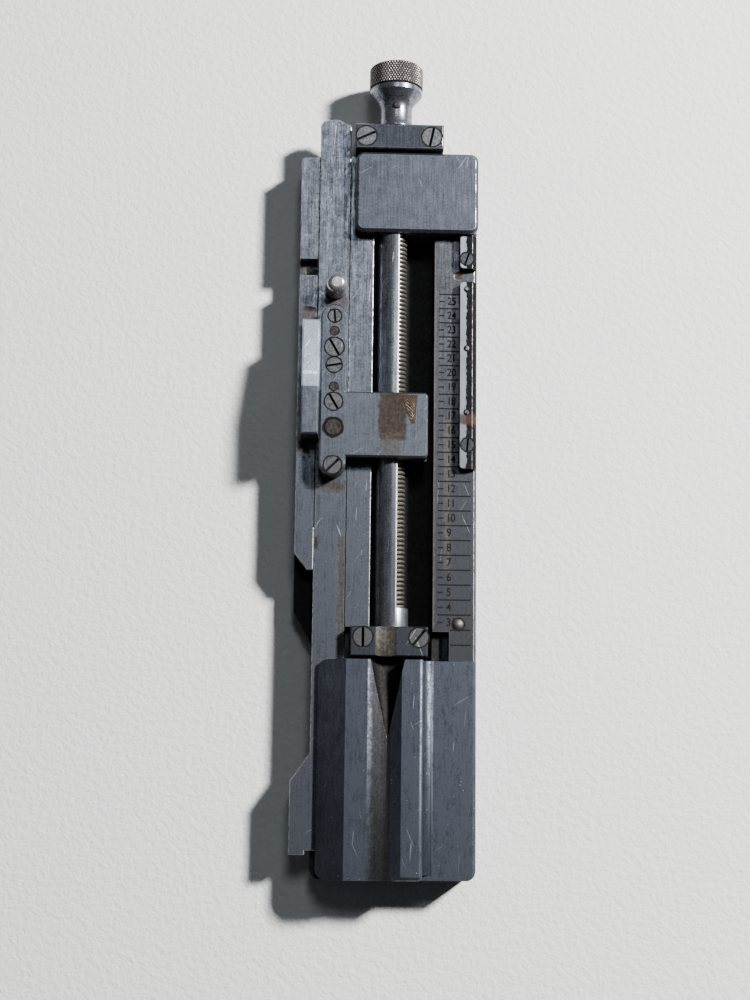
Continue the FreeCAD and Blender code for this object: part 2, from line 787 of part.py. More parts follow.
def make_knob():
    """The knob: flared base, waisted neck, coned shoulder, plain land and the knurled head."""
    bore = neck_radius + seat_gap
    land = knob_length - knurl_length - knob_land_length
    cone = land - knob_cone_length
    knurl = land + knob_land_length
    flare_rise, flare_radius = knob_flare
    cove_rise, cove_radius = knob_cove

    def at(radius, rise):
        return V(x_axis + radius, y_knob0 + rise, axis_height)

    neck_start = at(knob_neck_radius, knob_neck_start)
    neck_end = at(knob_neck_radius, knob_neck_end)
    rim = at(knob_base_radius, knob_base_rim)
    cove_end = at(knob_neck_radius + knob_cove_rise, cone)
    edges = [Part.LineSegment(at(bore, 0), at(knob_base_radius, 0)),
             Part.LineSegment(at(knob_base_radius, 0), rim),
             Part.Arc(rim, at(knob_neck_radius + flare_radius, flare_rise), neck_start),
             Part.LineSegment(neck_start, neck_end),
             Part.Arc(neck_end, at(knob_neck_radius + cove_radius, cove_rise), cove_end)]
    corners = [cove_end, at(knob_land_radius, land), at(knob_land_radius, knurl), at(knob_radius, knurl),
               at(knob_radius, knob_length - knob_chamfer), at(knob_radius - knob_chamfer, knob_length),
               at(0, knob_length), at(0, knob_bore_depth), at(bore, knob_bore_depth), at(bore, 0)]
    for start, end in zip(corners, corners[1:]):
        edges.append(Part.LineSegment(start, end))
    face = Part.Face(Part.Wire([edge.toShape() for edge in edges]))
    knob = face.revolve(V(x_axis, 0, axis_height), V(0, 1, 0), 360)
    return knob.cut(post(x_axis, y_knob_pin, pin_radius + seat_gap, 0, 2 * axis_height))


def make_knob_pin():
    """The pin through the knob's neck, its upper end domed."""
    reach = knob_neck_radius + pin_proud
    pin = post(x_axis, y_knob_pin, pin_radius, axis_height - knob_neck_radius, axis_height + reach)
    return round_top(pin, pin_dome, axis_height + reach)


def make_thrust_collar():
    """The collar that stops the screw from moving toward the knob."""
    collar = make_bush(collar_radius, neck_radius + seat_gap, y_collar0, y_collar0 + collar_length)
    return collar.cut(post(x_axis, y_collar_pin, collar_pin_radius + seat_gap, 0, 2 * axis_height))


def make_collar_pin():
    """The pin that fixes the thrust collar to the screw."""
    return post(x_axis, y_collar_pin, collar_pin_radius,
                axis_height - collar_radius + collar_pin_sink, axis_height + collar_radius - collar_pin_sink)


# ---- the slid bar ----
def make_slide_bar():
    """The hand-slid bar: hooked foot at the handle end, rounded nose at the knob end."""
    x0 = x_bar0 + slide_gap
    x1 = x_bar1 - slide_gap
    y_foot_top = y_bar0 + bar_foot_length
    right_radius, middle_radius, left_radius = bar_nose_radii
    bar = rounded_prism(((x_left, y_bar0, bar_foot_radius), (x_bar0 - bar_notch_inset, y_bar0, 0),
                         (x_bar0 - bar_notch_inset, y_bar0 + bar_notch_depth, 0),
                         (x1, y_bar0 + bar_notch_depth, 0), (x1, y_bar1 - bar_nose_slope, right_radius),
                         (x0 + bar_nose_flat, y_bar1, middle_radius),
                         (x0, y_bar1 - bar_nose_drop, left_radius),
                         (x0, y_foot_top + bar_foot_slant, bar_bend_radius),
                         (x_left, y_foot_top, bar_bend_radius)),
                        z_left_land, deck_height)
    return bar.cut(post(x_stud, y_stud, stud_shank_radius + seat_gap, 0, deck_height + 1))


def make_stop_stud():
    """The domed stud riveted in the slid bar."""
    stud = post(x_stud, y_stud, stud_radius, deck_height, deck_height + stud_height)
    stud = round_top(stud, stud_dome, deck_height + stud_height)
    return stud.fuse(post(x_stud, y_stud, stud_shank_radius, z_left_land + slide_gap, deck_height))


# ---- the carriage ----
def make_carriage_block():
    """The boss over the slid bar and the arm that bridges to the guide tube."""
    boss = stadium(x_boss, y_boss0, y_boss1, boss_radius, z_jaw_top, z_carriage)
    arm = rounded_prism(((x_boss, y_arm0, 0), (x_arm1, y_arm0, arm_corner_radius),
                         (x_arm1, y_arm1, arm_corner_radius), (x_boss, y_arm1, 0)), z_above_deck, z_carriage)
    over_jaw = box(x_boss - 1, x_boss + boss_radius, y_arm0 - 1, y_arm1 + 1, z_above_deck - 1, z_jaw_top)
    top = boss.fuse(arm.cut(over_jaw)).removeSplitter()
    top = chamfer_top(top, arm_edge_chamfer, z_carriage)
    saddle = box(x_channel0 + free_gap, x_arm1, y_arm0, y_arm1, axis_height, z_above_deck)
    leg = box(x_arm1 - arm_leg_width, x_arm1, y_arm0, y_arm1, z_carriage - arm_leg_depth, axis_height)
    block = top.multiFuse([saddle, leg])
    block = block.cut(rod(tube_radius + tube_slide_gap, y_arm0 - 1, y_arm1 + 1))
    block = block.cut(make_release_space())
    for x, y, kind, _ in boss_screw_list():
        block = block.cut(screw_hole(x, y, z_carriage, kind, boss_screw_length))
    for y in boss_dowel_list():
        block = block.cut(post(x_fastener, y, dowel_radius + seat_gap, 0, z_carriage + 1))
    return block.removeSplitter()


def make_release_space():
    """The cutter for the button's hole, the slide's tunnel and the leg's slot."""
    y0 = y_button - release_bar_width / 2 - fit_gap
    y1 = y_button + release_bar_width / 2 + fit_gap
    ceiling = z_release1 + fit_gap
    ring = post(x_fastener, y_button, button_ring_radius, z_carriage - button_ring_depth, z_carriage + 1)
    hole = post(x_fastener, y_button, button_radius + fit_gap, 0, z_carriage)
    tunnel = box(x_fastener, x_web0, y0, y1, z_release0 - fit_gap, ceiling)
    spring_room = box(x_tab0 - free_gap, x_web0, y0, y1, 0, ceiling)
    over_web = box(x_web0 - 1, x_web1 + 1, y0, y1, z_release0 - fit_gap, ceiling)
    leg_room = box(x_web1, x_arm1 - release_wall, y0, y1, 0, ceiling)
    return ring.multiFuse([hole, tunnel, spring_room, over_web, leg_room])


def make_jaw():
    """The L-shaped jaw: a plate under the boss and a tall finger beside it."""
    plate = stadium(x_boss, y_boss0, y_boss1, boss_radius, z_above_deck, z_jaw_top)
    tie = box(x_finger0, x_boss, y_finger0, y_finger1, z_above_deck, z_jaw_top)
    finger = prism_along_x(((y_finger0, z_above_deck), (y_finger1, z_above_deck),
                            (y_finger1, z_above_deck + jaw_end_height),
                            (y_ridge, z_above_deck + jaw_ridge_height),
                            (y_finger0, z_above_deck + jaw_ridge_height)), x_finger0, x_finger1)
    rims = [edge for edge in finger.Edges if edge.BoundBox.ZMin > z_jaw_top]
    finger = finger.makeChamfer(jaw_chamfer, rims)
    jaw = plate.multiFuse([tie, finger]).removeSplitter()
    for x, y, kind, _ in boss_screw_list():
        jaw = jaw.cut(screw_hole(x, y, z_carriage, kind, boss_screw_length))
    for y in boss_dowel_list():
        jaw = jaw.cut(post(x_fastener, y, dowel_radius + seat_gap, 0, z_carriage))
    pocket = post(x_fastener, y_button, button_radius + fit_gap,
                  z_button0 - release_travel - free_gap, z_carriage)
    return jaw.cut(pocket)


def make_release_button():
    """The flush round button, cut to a wedge below so that pressing it drives the slide."""
    button = post(x_fastener, y_button, button_radius, z_button0, z_carriage)
    button = chamfer_top(button, button_chamfer, z_carriage)
    reach = 3 * button_radius
    rise = release_travel + fit_gap
    below = prism_along_y(((x_wedge + rise, z_release1 + rise), (x_wedge + reach, z_release1 + rise),
                           (x_wedge + reach, z_release1 - reach), (x_wedge - reach, z_release1 - reach)),
                          y_button - reach, y_button + reach)
    return button.cut(below)


def make_release_slide():
    """The sliding bar under the arm: wedge end, spring tab, and the leg with the half-nut pad."""
    y0 = y_button - release_bar_width / 2
    y1 = y_button + release_bar_width / 2
    x_face = x_wedge + fit_gap * math.sqrt(2)
    bar = prism_along_y(((x_face, z_release1), (x_release_leg1, z_release1), (x_release_leg1, z_release0),
                         (x_face - release_bar_thickness, z_release0)), y0, y1)
    tab = box(x_tab0, x_tab0 + spring_tab, y0, y1, z_spring - spring_radius, z_release0)
    leg = box(x_release_leg0, x_release_leg1, y0, y1, axis_height - nut_half_height, z_release0)
    pad = box(x_axis, x_release_leg0, y0, y1, axis_height - nut_half_height, axis_height + nut_half_height)
    pad = pad.cut(rod(screw_radius + nut_gap, y0 - 1, y1 + 1))
    return bar.multiFuse([tab, leg, pad]).removeSplitter()


def make_release_spring():
    """The return spring between the slide's tab and the arm's web, as a plain sleeve."""
    x0 = x_tab0 + spring_tab
    outer = Part.makeCylinder(spring_radius, x_web0 - x0, V(x0, y_button, z_spring), V(1, 0, 0))
    inner = Part.makeCylinder(spring_radius - 2 * spring_wire_radius, x_web0 - x0 + 2,
                              V(x0 - 1, y_button, z_spring), V(1, 0, 0))
    return outer.cut(inner)


def boss_dowel_list():
    """The Y places of the carriage's dowels."""
    return [y_boss0 + place for place in boss_dowels]


# ---- fasteners, one node to a group ----
def make_under_screws(node):
    """One plate's screws from the underside."""
    return Part.makeCompound([under_screw_solid(x, y, length)
                              for name, x, y, length in under_places() if name == node])


def make_foot_screws():
    """The foot bracket's screws."""
    return Part.makeCompound([slotted_screw(x, y, z_bracket, bracket_screw, length, turn)
                              for x, y, length, turn in foot_screw_places()])


def make_end_screws():
    """The end bracket's screws."""
    return Part.makeCompound([slotted_screw(x, y, z_bracket, end_screw, length, turn)
                              for x, y, length, turn in end_screw_places()])


def make_boss_screws():
    """The screws that hold the jaw under the boss."""
    return Part.makeCompound([slotted_screw(x, y, z_carriage, kind, boss_screw_length, turn)
                              for x, y, kind, turn in boss_screw_list()])


def make_boss_dowels():
    """The dowels that line the jaw up with the boss."""
    return Part.makeCompound([post(x_fastener, y, dowel_radius, z_above_deck + free_gap, z_carriage)
                              for y in boss_dowel_list()])


def make_stop_screws():
    """The stop bars' screws."""
    return Part.makeCompound([slotted_screw(x, y, z_stop, stop_screw, stop_screw_length, turn)
                              for x, y, turn in stop_screw_places()])


def main():
    """Build every sub-part and write each to its own file."""
    nodes = {
        "base_frame": make_base_frame(),
        "channel_rail": make_rail(),
        "lower_edge_strip": make_lower_strip(),
        "upper_edge_strip": make_upper_strip(),
        "scale_plate": make_scale_plate(),
        "scale_rivet": make_scale_rivet(),
        "scale_locating_pin": make_locating_pin(),
        "long_stop_bar": make_stop_bar(y_stop0, y_stop1),
        "short_stop_bar": make_stop_bar(y_stop2, y_stop3),
        "stop_bar_pins": make_stop_pins(),
        "stop_bar_screws": make_stop_screws(),
        "foot_bracket": make_foot_bracket(),
        "foot_bracket_screws": make_foot_screws(),
        "end_bracket": make_end_bracket(),
        "end_bracket_screws": make_end_screws(),
        "head_block": make_head_block(),
        "guide_tube": make_guide_tube(),
        "foot_bush": make_bush(tube_bore - seat_gap, journal_radius + fit_gap, y_tube0, y_foot1),
        "end_bush": make_bush(end_bush_radius, neck_radius + fit_gap, y_end_bush, y_end1),
        "lead_screw": make_lead_screw(),
        "knob": make_knob(),
        "knob_pin": make_knob_pin(),
        "thrust_collar": make_thrust_collar(),
        "collar_pin": make_collar_pin(),
        "slide_bar": make_slide_bar(),
        "stop_stud": make_stop_stud(),
        "carriage_block": make_carriage_block(),
        "jaw": make_jaw(),
        "boss_screws": make_boss_screws(),
        "boss_dowels": make_boss_dowels(),
        "release_button": make_release_button(),
        "release_slide": make_release_slide(),
        "release_spring": make_release_spring(),
    }
    for node in ("rail_screws", "scale_plate_screws", "edge_strip_screws", "head_block_screws"):
        nodes[node] = make_under_screws(node)
    for node, shape in nodes.items():
        shape.exportStep("parts/" + node + ".step")
        sizes = shape.BoundBox
        print(f"{node}: {len(shape.Solids)} solids, valid {shape.isValid()}, "
              f"{shape.Volume:.1f} mm3, Y {sizes.YMin:.2f} to {sizes.YMax:.2f}, top {sizes.ZMax:.2f}")


main()
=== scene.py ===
"""Looks of the screw-set line gauge: metals, knurl, thread, graduations and wear round the CAD frame."""
import bmesh
import bpy
import json
import math
import random
from mathutils import Euler, Matrix, Vector


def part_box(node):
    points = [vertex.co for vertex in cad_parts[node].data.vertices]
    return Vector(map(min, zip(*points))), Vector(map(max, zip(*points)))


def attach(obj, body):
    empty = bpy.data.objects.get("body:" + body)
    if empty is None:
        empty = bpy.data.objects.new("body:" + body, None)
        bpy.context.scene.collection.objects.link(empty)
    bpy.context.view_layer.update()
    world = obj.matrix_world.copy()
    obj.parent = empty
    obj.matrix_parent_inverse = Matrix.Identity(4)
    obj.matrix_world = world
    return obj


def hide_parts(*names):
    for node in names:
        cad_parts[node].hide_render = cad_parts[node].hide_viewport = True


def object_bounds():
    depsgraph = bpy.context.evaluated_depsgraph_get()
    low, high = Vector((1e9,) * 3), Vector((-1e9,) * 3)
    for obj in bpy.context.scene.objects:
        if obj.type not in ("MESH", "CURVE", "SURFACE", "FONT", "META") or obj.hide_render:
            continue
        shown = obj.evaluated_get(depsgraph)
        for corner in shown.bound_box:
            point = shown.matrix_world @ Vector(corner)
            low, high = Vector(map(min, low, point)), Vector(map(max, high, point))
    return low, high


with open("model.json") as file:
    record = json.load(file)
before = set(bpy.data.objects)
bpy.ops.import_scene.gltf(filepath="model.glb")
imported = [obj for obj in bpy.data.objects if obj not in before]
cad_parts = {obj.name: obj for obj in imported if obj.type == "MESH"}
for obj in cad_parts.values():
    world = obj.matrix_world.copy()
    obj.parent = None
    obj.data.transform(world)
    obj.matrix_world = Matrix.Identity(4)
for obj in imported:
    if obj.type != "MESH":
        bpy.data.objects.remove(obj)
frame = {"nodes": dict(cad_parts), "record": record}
cad_low, cad_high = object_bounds()
centre = (cad_low + cad_high) / 2
MM = 0.001


# ---- places taken from the frame, in metres ----
def low(node):
    """The lowest corner of a node."""
    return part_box(node)[0]


def high(node):
    """The highest corner of a node."""
    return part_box(node)[1]


joints = {joint["name"]: joint for joint in frame["record"]["behaviour"]["joints"]}
axis_x, _, axis_z = joints["screw_turn"]["pos_m"]
deck_z = high("channel_rail").z
carriage_z = high("carriage_block").z
stop_z = high("long_stop_bar").z
recess_z = low("lower_edge_strip").z
handle_y = low("base_frame").y
foot_y = high("foot_bracket").y
head_y = low("head_block").y
gap_low_y = high("lower_edge_strip").y
stop_y = low("long_stop_bar").y
stud_y = low("stop_stud").y
boss_y = low("carriage_block").y
jaw_low_y = low("jaw").y
jaw_high_y = high("jaw").y
jaw_middle = (jaw_low_y + jaw_high_y) / 2
strip_left = low("lower_edge_strip").x
bar_left = high("lower_edge_strip").x
bar_right = low("channel_rail").x
rail_right = high("channel_rail").x
scale_left = low("scale_plate").x
stop_left = low("long_stop_bar").x
knob_radius = (high("knob").x - low("knob").x) / 2


# ---- sizes that only the looks need ----
PICA = 4.2175 * MM
FIRST_LINE = 3.8 * MM
LINES_BELOW = 3
LINES_ABOVE = 22
FIRST_NUMBER = 3
THREAD_PITCH = 1.27 * MM
THREAD_DEPTH = 0.62 * MM
KNURL_PITCH = 0.85 * MM
KNURL_DEPTH = 0.26 * MM
KNURL_LENGTH = 6.7 * MM
KNURL_CHAMFER = 0.45 * MM
KNURL_ROWS = 56
KNURL_SLOPE = 0.62
KNOB_PROFILE_MM = (
    (0.0, 5.0), (0.15, 5.2), (0.5, 5.2), (1.1, 4.99), (1.8, 4.84), (3.2, 4.7), (5.6, 4.7), (6.4, 4.81),
    (7.1, 5.0), (7.7, 5.27), (8.2, 5.65), (10.3, 7.4), (10.6, 7.6), (11.9, 7.6), (12.0, 7.45),
)
KNOB_AROUND = 364
SCREW_AROUND = 40
ROWS_PER_THREAD = 8
JOURNAL_RADIUS = 2.5 * MM
NECK_RADIUS = 2.9 * MM
THREAD_FROM_FOOT = 1.4 * MM
THREAD_PAST_HEAD = 16.0 * MM
THREAD_RUNOUT = 0.6 * MM
INK_HALF_WIDTH = 0.19 * MM
INK_OVER_DECK = 0.03 * MM
INK_UNDER_DECK = 0.02 * MM
LOWEST_LINE = 60.5 * MM
FIGURE_HEIGHT = 3.2 * MM
FIGURE_SWELL = 0.06 * MM
FIGURE_PLACE = 3.7 * MM
FIGURE_NARROWING = 0.85
SINGLE_FIGURE_SHIFT = 0.15 * MM
EDGE_WIDTH = 0.13 * MM
WIDE_EDGE = 0.22 * MM
RING_AROUND = 40
RING_GROWTH = 0.42 * MM
RING_INSIDE = 0.02 * MM
RING_UNDER = 0.05 * MM
RING_OVER = 0.012 * MM
SEAM_LEFT_REACH = 0.26 * MM
SEAM_RIGHT_REACH = 0.12 * MM
SEAM_DEPTH = 0.19 * MM
SEAM_DROP = 0.01 * MM
SCAR_BURR_PITCH = 0.82 * MM
SCAR_BURR_HEIGHT = 0.09 * MM
SCAR_OVER_ARM = 0.004 * MM
SCAR_THICKNESS = 0.02 * MM
PAPER_REACH = 1.6
PAPER_GAP = 0.05 * MM
AMBIENT_COLOUR = (0.86, 0.92, 1.0, 1.0)
AMBIENT_STRENGTH = 0.03
CAMERA_LENS_MM = 61.2
CAMERA_FROM_CENTRE = Vector((-18.3 * MM, -91.8 * MM))
CAMERA_HEIGHT = 486.2 * MM
CAMERA_TURN_DEGREES = (9.51, -1.95, 0.69)
CLAMPED = ("base_frame", "carriage_block", "foot_bracket", "jaw")


# ---- material kit ----
class Shade:
    """One procedural material. Each call adds a node and hands back its output."""

    def __init__(self, name):
        self.material = bpy.data.materials.new(name)
        self.material.use_nodes = True
        self.tree = self.material.node_tree
        self.surface = self.tree.nodes["Principled BSDF"]
        self.place = self.tree.nodes.new("ShaderNodeTexCoord").outputs["Object"]
        split = self.tree.nodes.new("ShaderNodeSeparateXYZ")
        self.tree.links.new(self.place, split.inputs[0])
        self.x, self.y, self.z = split.outputs

    def put(self, socket, value):
        """A link if value is an output, or else a plain value on the socket."""
        if isinstance(value, bpy.types.NodeSocket):
            self.tree.links.new(value, socket)
        elif value is not None:
            socket.default_value = value

    def calc(self, operation, a, b=None, c=None):
        """A math node."""
        node = self.tree.nodes.new("ShaderNodeMath")
        node.operation = operation
        for socket, value in zip(node.inputs, (a, b, c)):
            self.put(socket, value)
        return node.outputs[0]

    def add(self, a, b):
        """a + b."""
        return self.calc("ADD", a, b)

    def times(self, a, b):
        """a * b."""
        return self.calc("MULTIPLY", a, b)

    def ramp(self, value, start, end, low_value=0.0, high_value=1.0):
        """A smooth step from low_value at start to high_value at end."""
        node = self.tree.nodes.new("ShaderNodeMapRange")
        node.interpolation_type = "SMOOTHSTEP"
        for socket, number in zip(node.inputs, (value, start, end, low_value, high_value)):
            self.put(socket, number)
        return node.outputs[0]

    def mapped(self, stretch, turn=0.0, shift=0.0):
        """The object's own place, turned about Z, then stretched along each axis."""
        turned = self.tree.nodes.new("ShaderNodeMapping")
        turned.inputs["Rotation"].default_value = (0, 0, math.radians(turn))
        turned.inputs["Location"].default_value = (shift, shift * 0.7, shift * 0.3)
        self.put(turned.inputs[0], self.place)
        scaled = self.tree.nodes.new("ShaderNodeMapping")
        scaled.inputs["Scale"].default_value = stretch
        self.put(scaled.inputs[0], turned.outputs[0])
        return scaled.outputs[0]

    def noise(self, per_mm, stretch=(1, 1, 1), detail=3.0, rough=0.55, turn=0.0, shift=0.0):
        """Cloudy noise from 0 to 1, with about per_mm features to the millimetre."""
        node = self.tree.nodes.new("ShaderNodeTexNoise")
        self.put(node.inputs["Vector"], self.mapped(stretch, turn, shift))
        node.inputs["Scale"].default_value = per_mm / MM
        node.inputs["Detail"].default_value = detail
        node.inputs["Roughness"].default_value = rough
        return node.outputs["Fac"]

    def cells(self, per_mm, stretch=(1, 1, 1), turn=0.0, shift=0.0):
        """Distance to the nearest of many scattered points, in cells."""
        node = self.tree.nodes.new("ShaderNodeTexVoronoi")
        self.put(node.inputs["Vector"], self.mapped(stretch, turn, shift))
        node.inputs["Scale"].default_value = per_mm / MM
        return node.outputs["Distance"]

    def blend(self, share, below, above):
        """The colour above laid over the colour below, by share."""
        node = self.tree.nodes.new("ShaderNodeMix")
        node.data_type = "RGBA"
        self.put(node.inputs[0], share)
        for socket, colour in ((node.inputs[6], below), (node.inputs[7], above)):
            self.put(socket, colour if isinstance(colour, bpy.types.NodeSocket) else (*colour, 1.0))
        return node.outputs[2]

    def patch(self, x=None, y=None, z=None, ragged=0.5, soft=0.3, per_mm=0.9, shift=0.0):
        """A mask, 1 inside the given spans in metres, with ragged edges that wander by ragged mm."""
        inside = None
        for index, (coordinate, span) in enumerate(((self.x, x), (self.y, y), (self.z, z))):
            if span is None:
                continue
            wander = self.add(self.noise(per_mm, detail=4.0, shift=shift + 0.013 * (index + 1)), -0.5)
            moved = self.add(coordinate, self.times(wander, 2 * ragged * MM))
            rise = self.ramp(moved, span[0] - soft * MM, span[0] + soft * MM)
            fall = self.ramp(moved, span[1] - soft * MM, span[1] + soft * MM, 1.0, 0.0)
            both = self.times(rise, fall)
            inside = both if inside is None else self.times(inside, both)
        return inside

    def finish(self, colour, roughness, bump=None, metallic=0.85, bump_mm=0.035, bump_strength=0.7):
        """Plug the results into the surface."""
        self.put(self.surface.inputs["Base Color"], colour)
        self.put(self.surface.inputs["Roughness"], roughness)
        self.put(self.surface.inputs["Metallic"], metallic)
        if bump is not None:
            node = self.tree.nodes.new("ShaderNodeBump")
            node.inputs["Strength"].default_value = bump_strength
            node.inputs["Distance"].default_value = bump_mm * MM
            self.put(node.inputs["Height"], bump)
            self.put(self.surface.inputs["Normal"], node.outputs[0])
        return self.material


def span(start, first, last):
    """The stretch from first to last mm past a place."""
    return start + first * MM, start + last * MM


def stain(colour, strength, rough, **where):
    """A stain for worn_metal: colour, how far it covers, roughness, and place and edge for Shade.patch."""
    return where, colour, strength, rough


SCRATCHES = ((32.0, 0.11, 1.0), (-24.0, 0.17, 0.8), (61.0, 0.23, 0.7), (4.0, 0.31, 1.2))
CLOUD_SHARE = 0.20
GRIT_SHARE = 0.30


def worn_metal(name, dark, light, roughness=(0.27, 0.46), grain=(2.4, 0.10, 1.0), grain_turn=0.0, specks=0.5,
               scratches=0.5, stains=(), metallic=0.85, mottle=0.30, grain_depth=0.32):
    """Machined steel: grain along one way, cloudy tarnish, bright specks, scratches, and stains laid on top.

    grain stretches the fine noise, grain_turn turns it, and mottle is how fine the tarnish is.
    SCRATCHES gives each set of scratches its angle, its place in the noise and its strength.
    """
    shade = Shade(name)
    cloud = shade.noise(mottle, detail=5.0, rough=0.62)
    fine = shade.noise(1.0, stretch=grain, detail=3.0, rough=0.7, turn=grain_turn)
    grit = shade.noise(1.9, detail=3.0, rough=0.65, shift=0.02)
    clouds = shade.times(cloud, CLOUD_SHARE)
    tone = shade.add(clouds, shade.add(shade.times(fine, grain_depth), shade.times(grit, GRIT_SHARE)))
    middle = 0.5 * (CLOUD_SHARE + GRIT_SHARE + grain_depth)
    tone = shade.ramp(tone, middle - 0.12, middle + 0.13)
    colour = shade.blend(tone, dark, light)
    speck = shade.ramp(shade.cells(0.75, shift=0.05), 0.05, 0.13, 1.0, 0.0)
    speck = shade.times(speck, shade.ramp(shade.noise(0.3, detail=2.0, shift=0.08), 0.54, 0.6))
    bright = tuple(min(0.8, 1.5 * c + 0.22) for c in light)
    colour = shade.blend(shade.times(speck, specks), colour, bright)
    lines = None
    for turn, shift, width in SCRATCHES:
        line = shade.noise(1.0, stretch=(2.0, 0.07, 1.0), detail=1.0, turn=turn, shift=shift)
        line = shade.ramp(line, 0.765, 0.78, 0.0, width)
        lines = line if lines is None else shade.calc("MAXIMUM", lines, line)
    colour = shade.blend(shade.times(lines, scratches), colour, bright)
    rough = shade.ramp(tone, 0.0, 1.0, roughness[1], roughness[0])
    height = shade.add(shade.add(shade.times(fine, 0.6), shade.times(grit, 0.5)), shade.times(lines, -0.5))
    for mask, stain_colour, strength, stain_rough in stains:
        share = shade.times(shade.patch(**mask), strength)
        inner = tuple(0.45 * c for c in stain_colour)
        blotch = shade.ramp(shade.noise(1.3, detail=5.0, shift=0.04), 0.4, 0.65)
        colour = shade.blend(share, colour, shade.blend(blotch, inner, stain_colour))
        clean = shade.times(rough, shade.calc("SUBTRACT", 1.0, share))
        rough = shade.add(clean, shade.times(share, stain_rough))
    return shade.finish(colour, rough, height, metallic)


def edge_metal(name, tone, rust=0.0):
    """Bare metal along a worn edge, broken up by darker chips."""
    shade = Shade(name)
    chips = shade.ramp(shade.noise(0.7, detail=5.0, rough=0.7), 0.40, 0.60)
    dark = tuple(0.25 * c for c in tone)
    colour = shade.blend(chips, dark, tone)
    if rust:
        spots = shade.ramp(shade.noise(0.5, detail=4.0, shift=0.03), 0.55, 0.65, 0.0, rust)
        colour = shade.blend(spots, colour, RUST)
    nicks = shade.noise(3.0, detail=3.0, shift=0.06)
    return shade.finish(colour, shade.ramp(chips, 0.0, 1.0, 0.55, 0.28), nicks, 0.95, 0.03)


STEEL_DARK = (0.036, 0.040, 0.050)
STEEL_LIGHT = (0.185, 0.203, 0.243)
BLUE_DARK = (0.024, 0.028, 0.039)
BLUE_LIGHT = (0.088, 0.100, 0.130)
BRIGHT_DARK = (0.055, 0.060, 0.076)
BRIGHT_LIGHT = (0.30, 0.325, 0.37)
RUST = (0.055, 0.027, 0.017)
GRIME = (0.016, 0.014, 0.012)
OLIVE = (0.045, 0.041, 0.028)
# Black for painted shade: the screw slots and the sides of the carriage.
PAINTED_SHADE_BLACK = (0.008, 0.008, 0.010)
# Dark colours for painted shade in the channel and on the low land.
CHANNEL_SHADE = (0.022, 0.020, 0.016)
LAND_SHADE = (0.014, 0.013, 0.012)
OLD_OIL = (0.050, 0.040, 0.028)
BROWN = (0.055, 0.035, 0.026)


# ---- the metals, one for each kind of piece ----
def bed_metal():
    """The bed: blued handle, darker in the ledge fillet and valley, with painted shade below the plates."""
    handle = (handle_y, foot_y)
    below_plates = deck_z - 2.6 * MM
    return worn_metal(
        "bed_blued_steel", BLUE_DARK, BLUE_LIGHT, roughness=(0.40, 0.58), specks=1.0, scratches=0.35,
        grain=(1.4, 0.22, 1.0), mottle=0.16, stains=(
            # These three darken the handle in the ledge fillet and the valley.
            stain(OLIVE, 0.75, 0.7, x=span(axis_x, 3.55, 9.25), y=handle, z=span(deck_z, -1.0, 2.2),
                  ragged=0.9, soft=0.5),
            stain(GRIME, 0.8, 0.62, x=span(axis_x, -7.25, 0.25), y=handle, z=span(deck_z, 3.6, 5.35),
                  ragged=0.7, soft=0.7),
            stain(GRIME, 0.95, 0.7, x=span(axis_x, -7.75, 7.25), y=(handle_y + 30 * MM, foot_y),
                  z=span(deck_z, 0.0, 4.35), ragged=0.15, soft=0.25),
            # painted shade: the deep channel under the plates, between the rail and the scale plate
            stain(CHANNEL_SHADE, 0.9, 0.6, x=(rail_right - 3 * MM, scale_left + 3 * MM),
                  y=(handle_y + 59 * MM, head_y + 20 * MM), z=(0.5 * MM, below_plates), ragged=0.3, soft=0.3),
            # painted shade: the low land left of the edge strips
            stain(LAND_SHADE, 0.9, 0.5, x=(cad_low.x - 1 * MM, bar_left + 2 * MM),
                  y=(handle_y + 20 * MM, low("lower_edge_strip").y + 4.4 * MM), z=(1 * MM, below_plates),
                  ragged=0.5, soft=0.4),
        ))


def plate_metal(name, stains=(), dark=STEEL_DARK, light=STEEL_LIGHT, **options):
    """Fine-ground plate with the grain along the bed."""
    return worn_metal(name, dark, light, stains=stains, **options)


def strip_metal():
    """The edge strips: ground plate with rust by the end of the jaw."""
    return plate_metal("edge_strip_steel", specks=0.6, stains=(
        stain(RUST, 0.7, 0.7, x=span(strip_left, 1, 5), y=span(jaw_high_y, -4.2, 0.3), ragged=1.3, soft=0.5),
    ))


def bar_metal():
    """The slid bar: grime down its right side, a dirt pit, and brown by the stud and the boss."""
    return plate_metal("slide_bar_steel", specks=0.7, stains=(
        stain(OLD_OIL, 0.75, 0.65, x=span(bar_right, -2.3, 0.0), y=span(foot_y, -8, 26),
              ragged=1.2, soft=0.7),
        stain(GRIME, 0.85, 0.7, x=span(bar_left, -0.3, 1.3), y=span(low("lower_edge_strip").y, 5.9, 9.4),
              ragged=0.8, soft=0.3),
        stain(RUST, 0.55, 0.7, x=span(bar_left, 1.8, 8.8), y=span(stud_y, -2.6, 0.4), ragged=1.5, soft=0.8),
        stain(BROWN, 0.65, 0.6, x=span(bar_left, 1.6, 9.1), y=span(boss_y, -4.2, -0.3), ragged=1.2, soft=0.8),
    ))


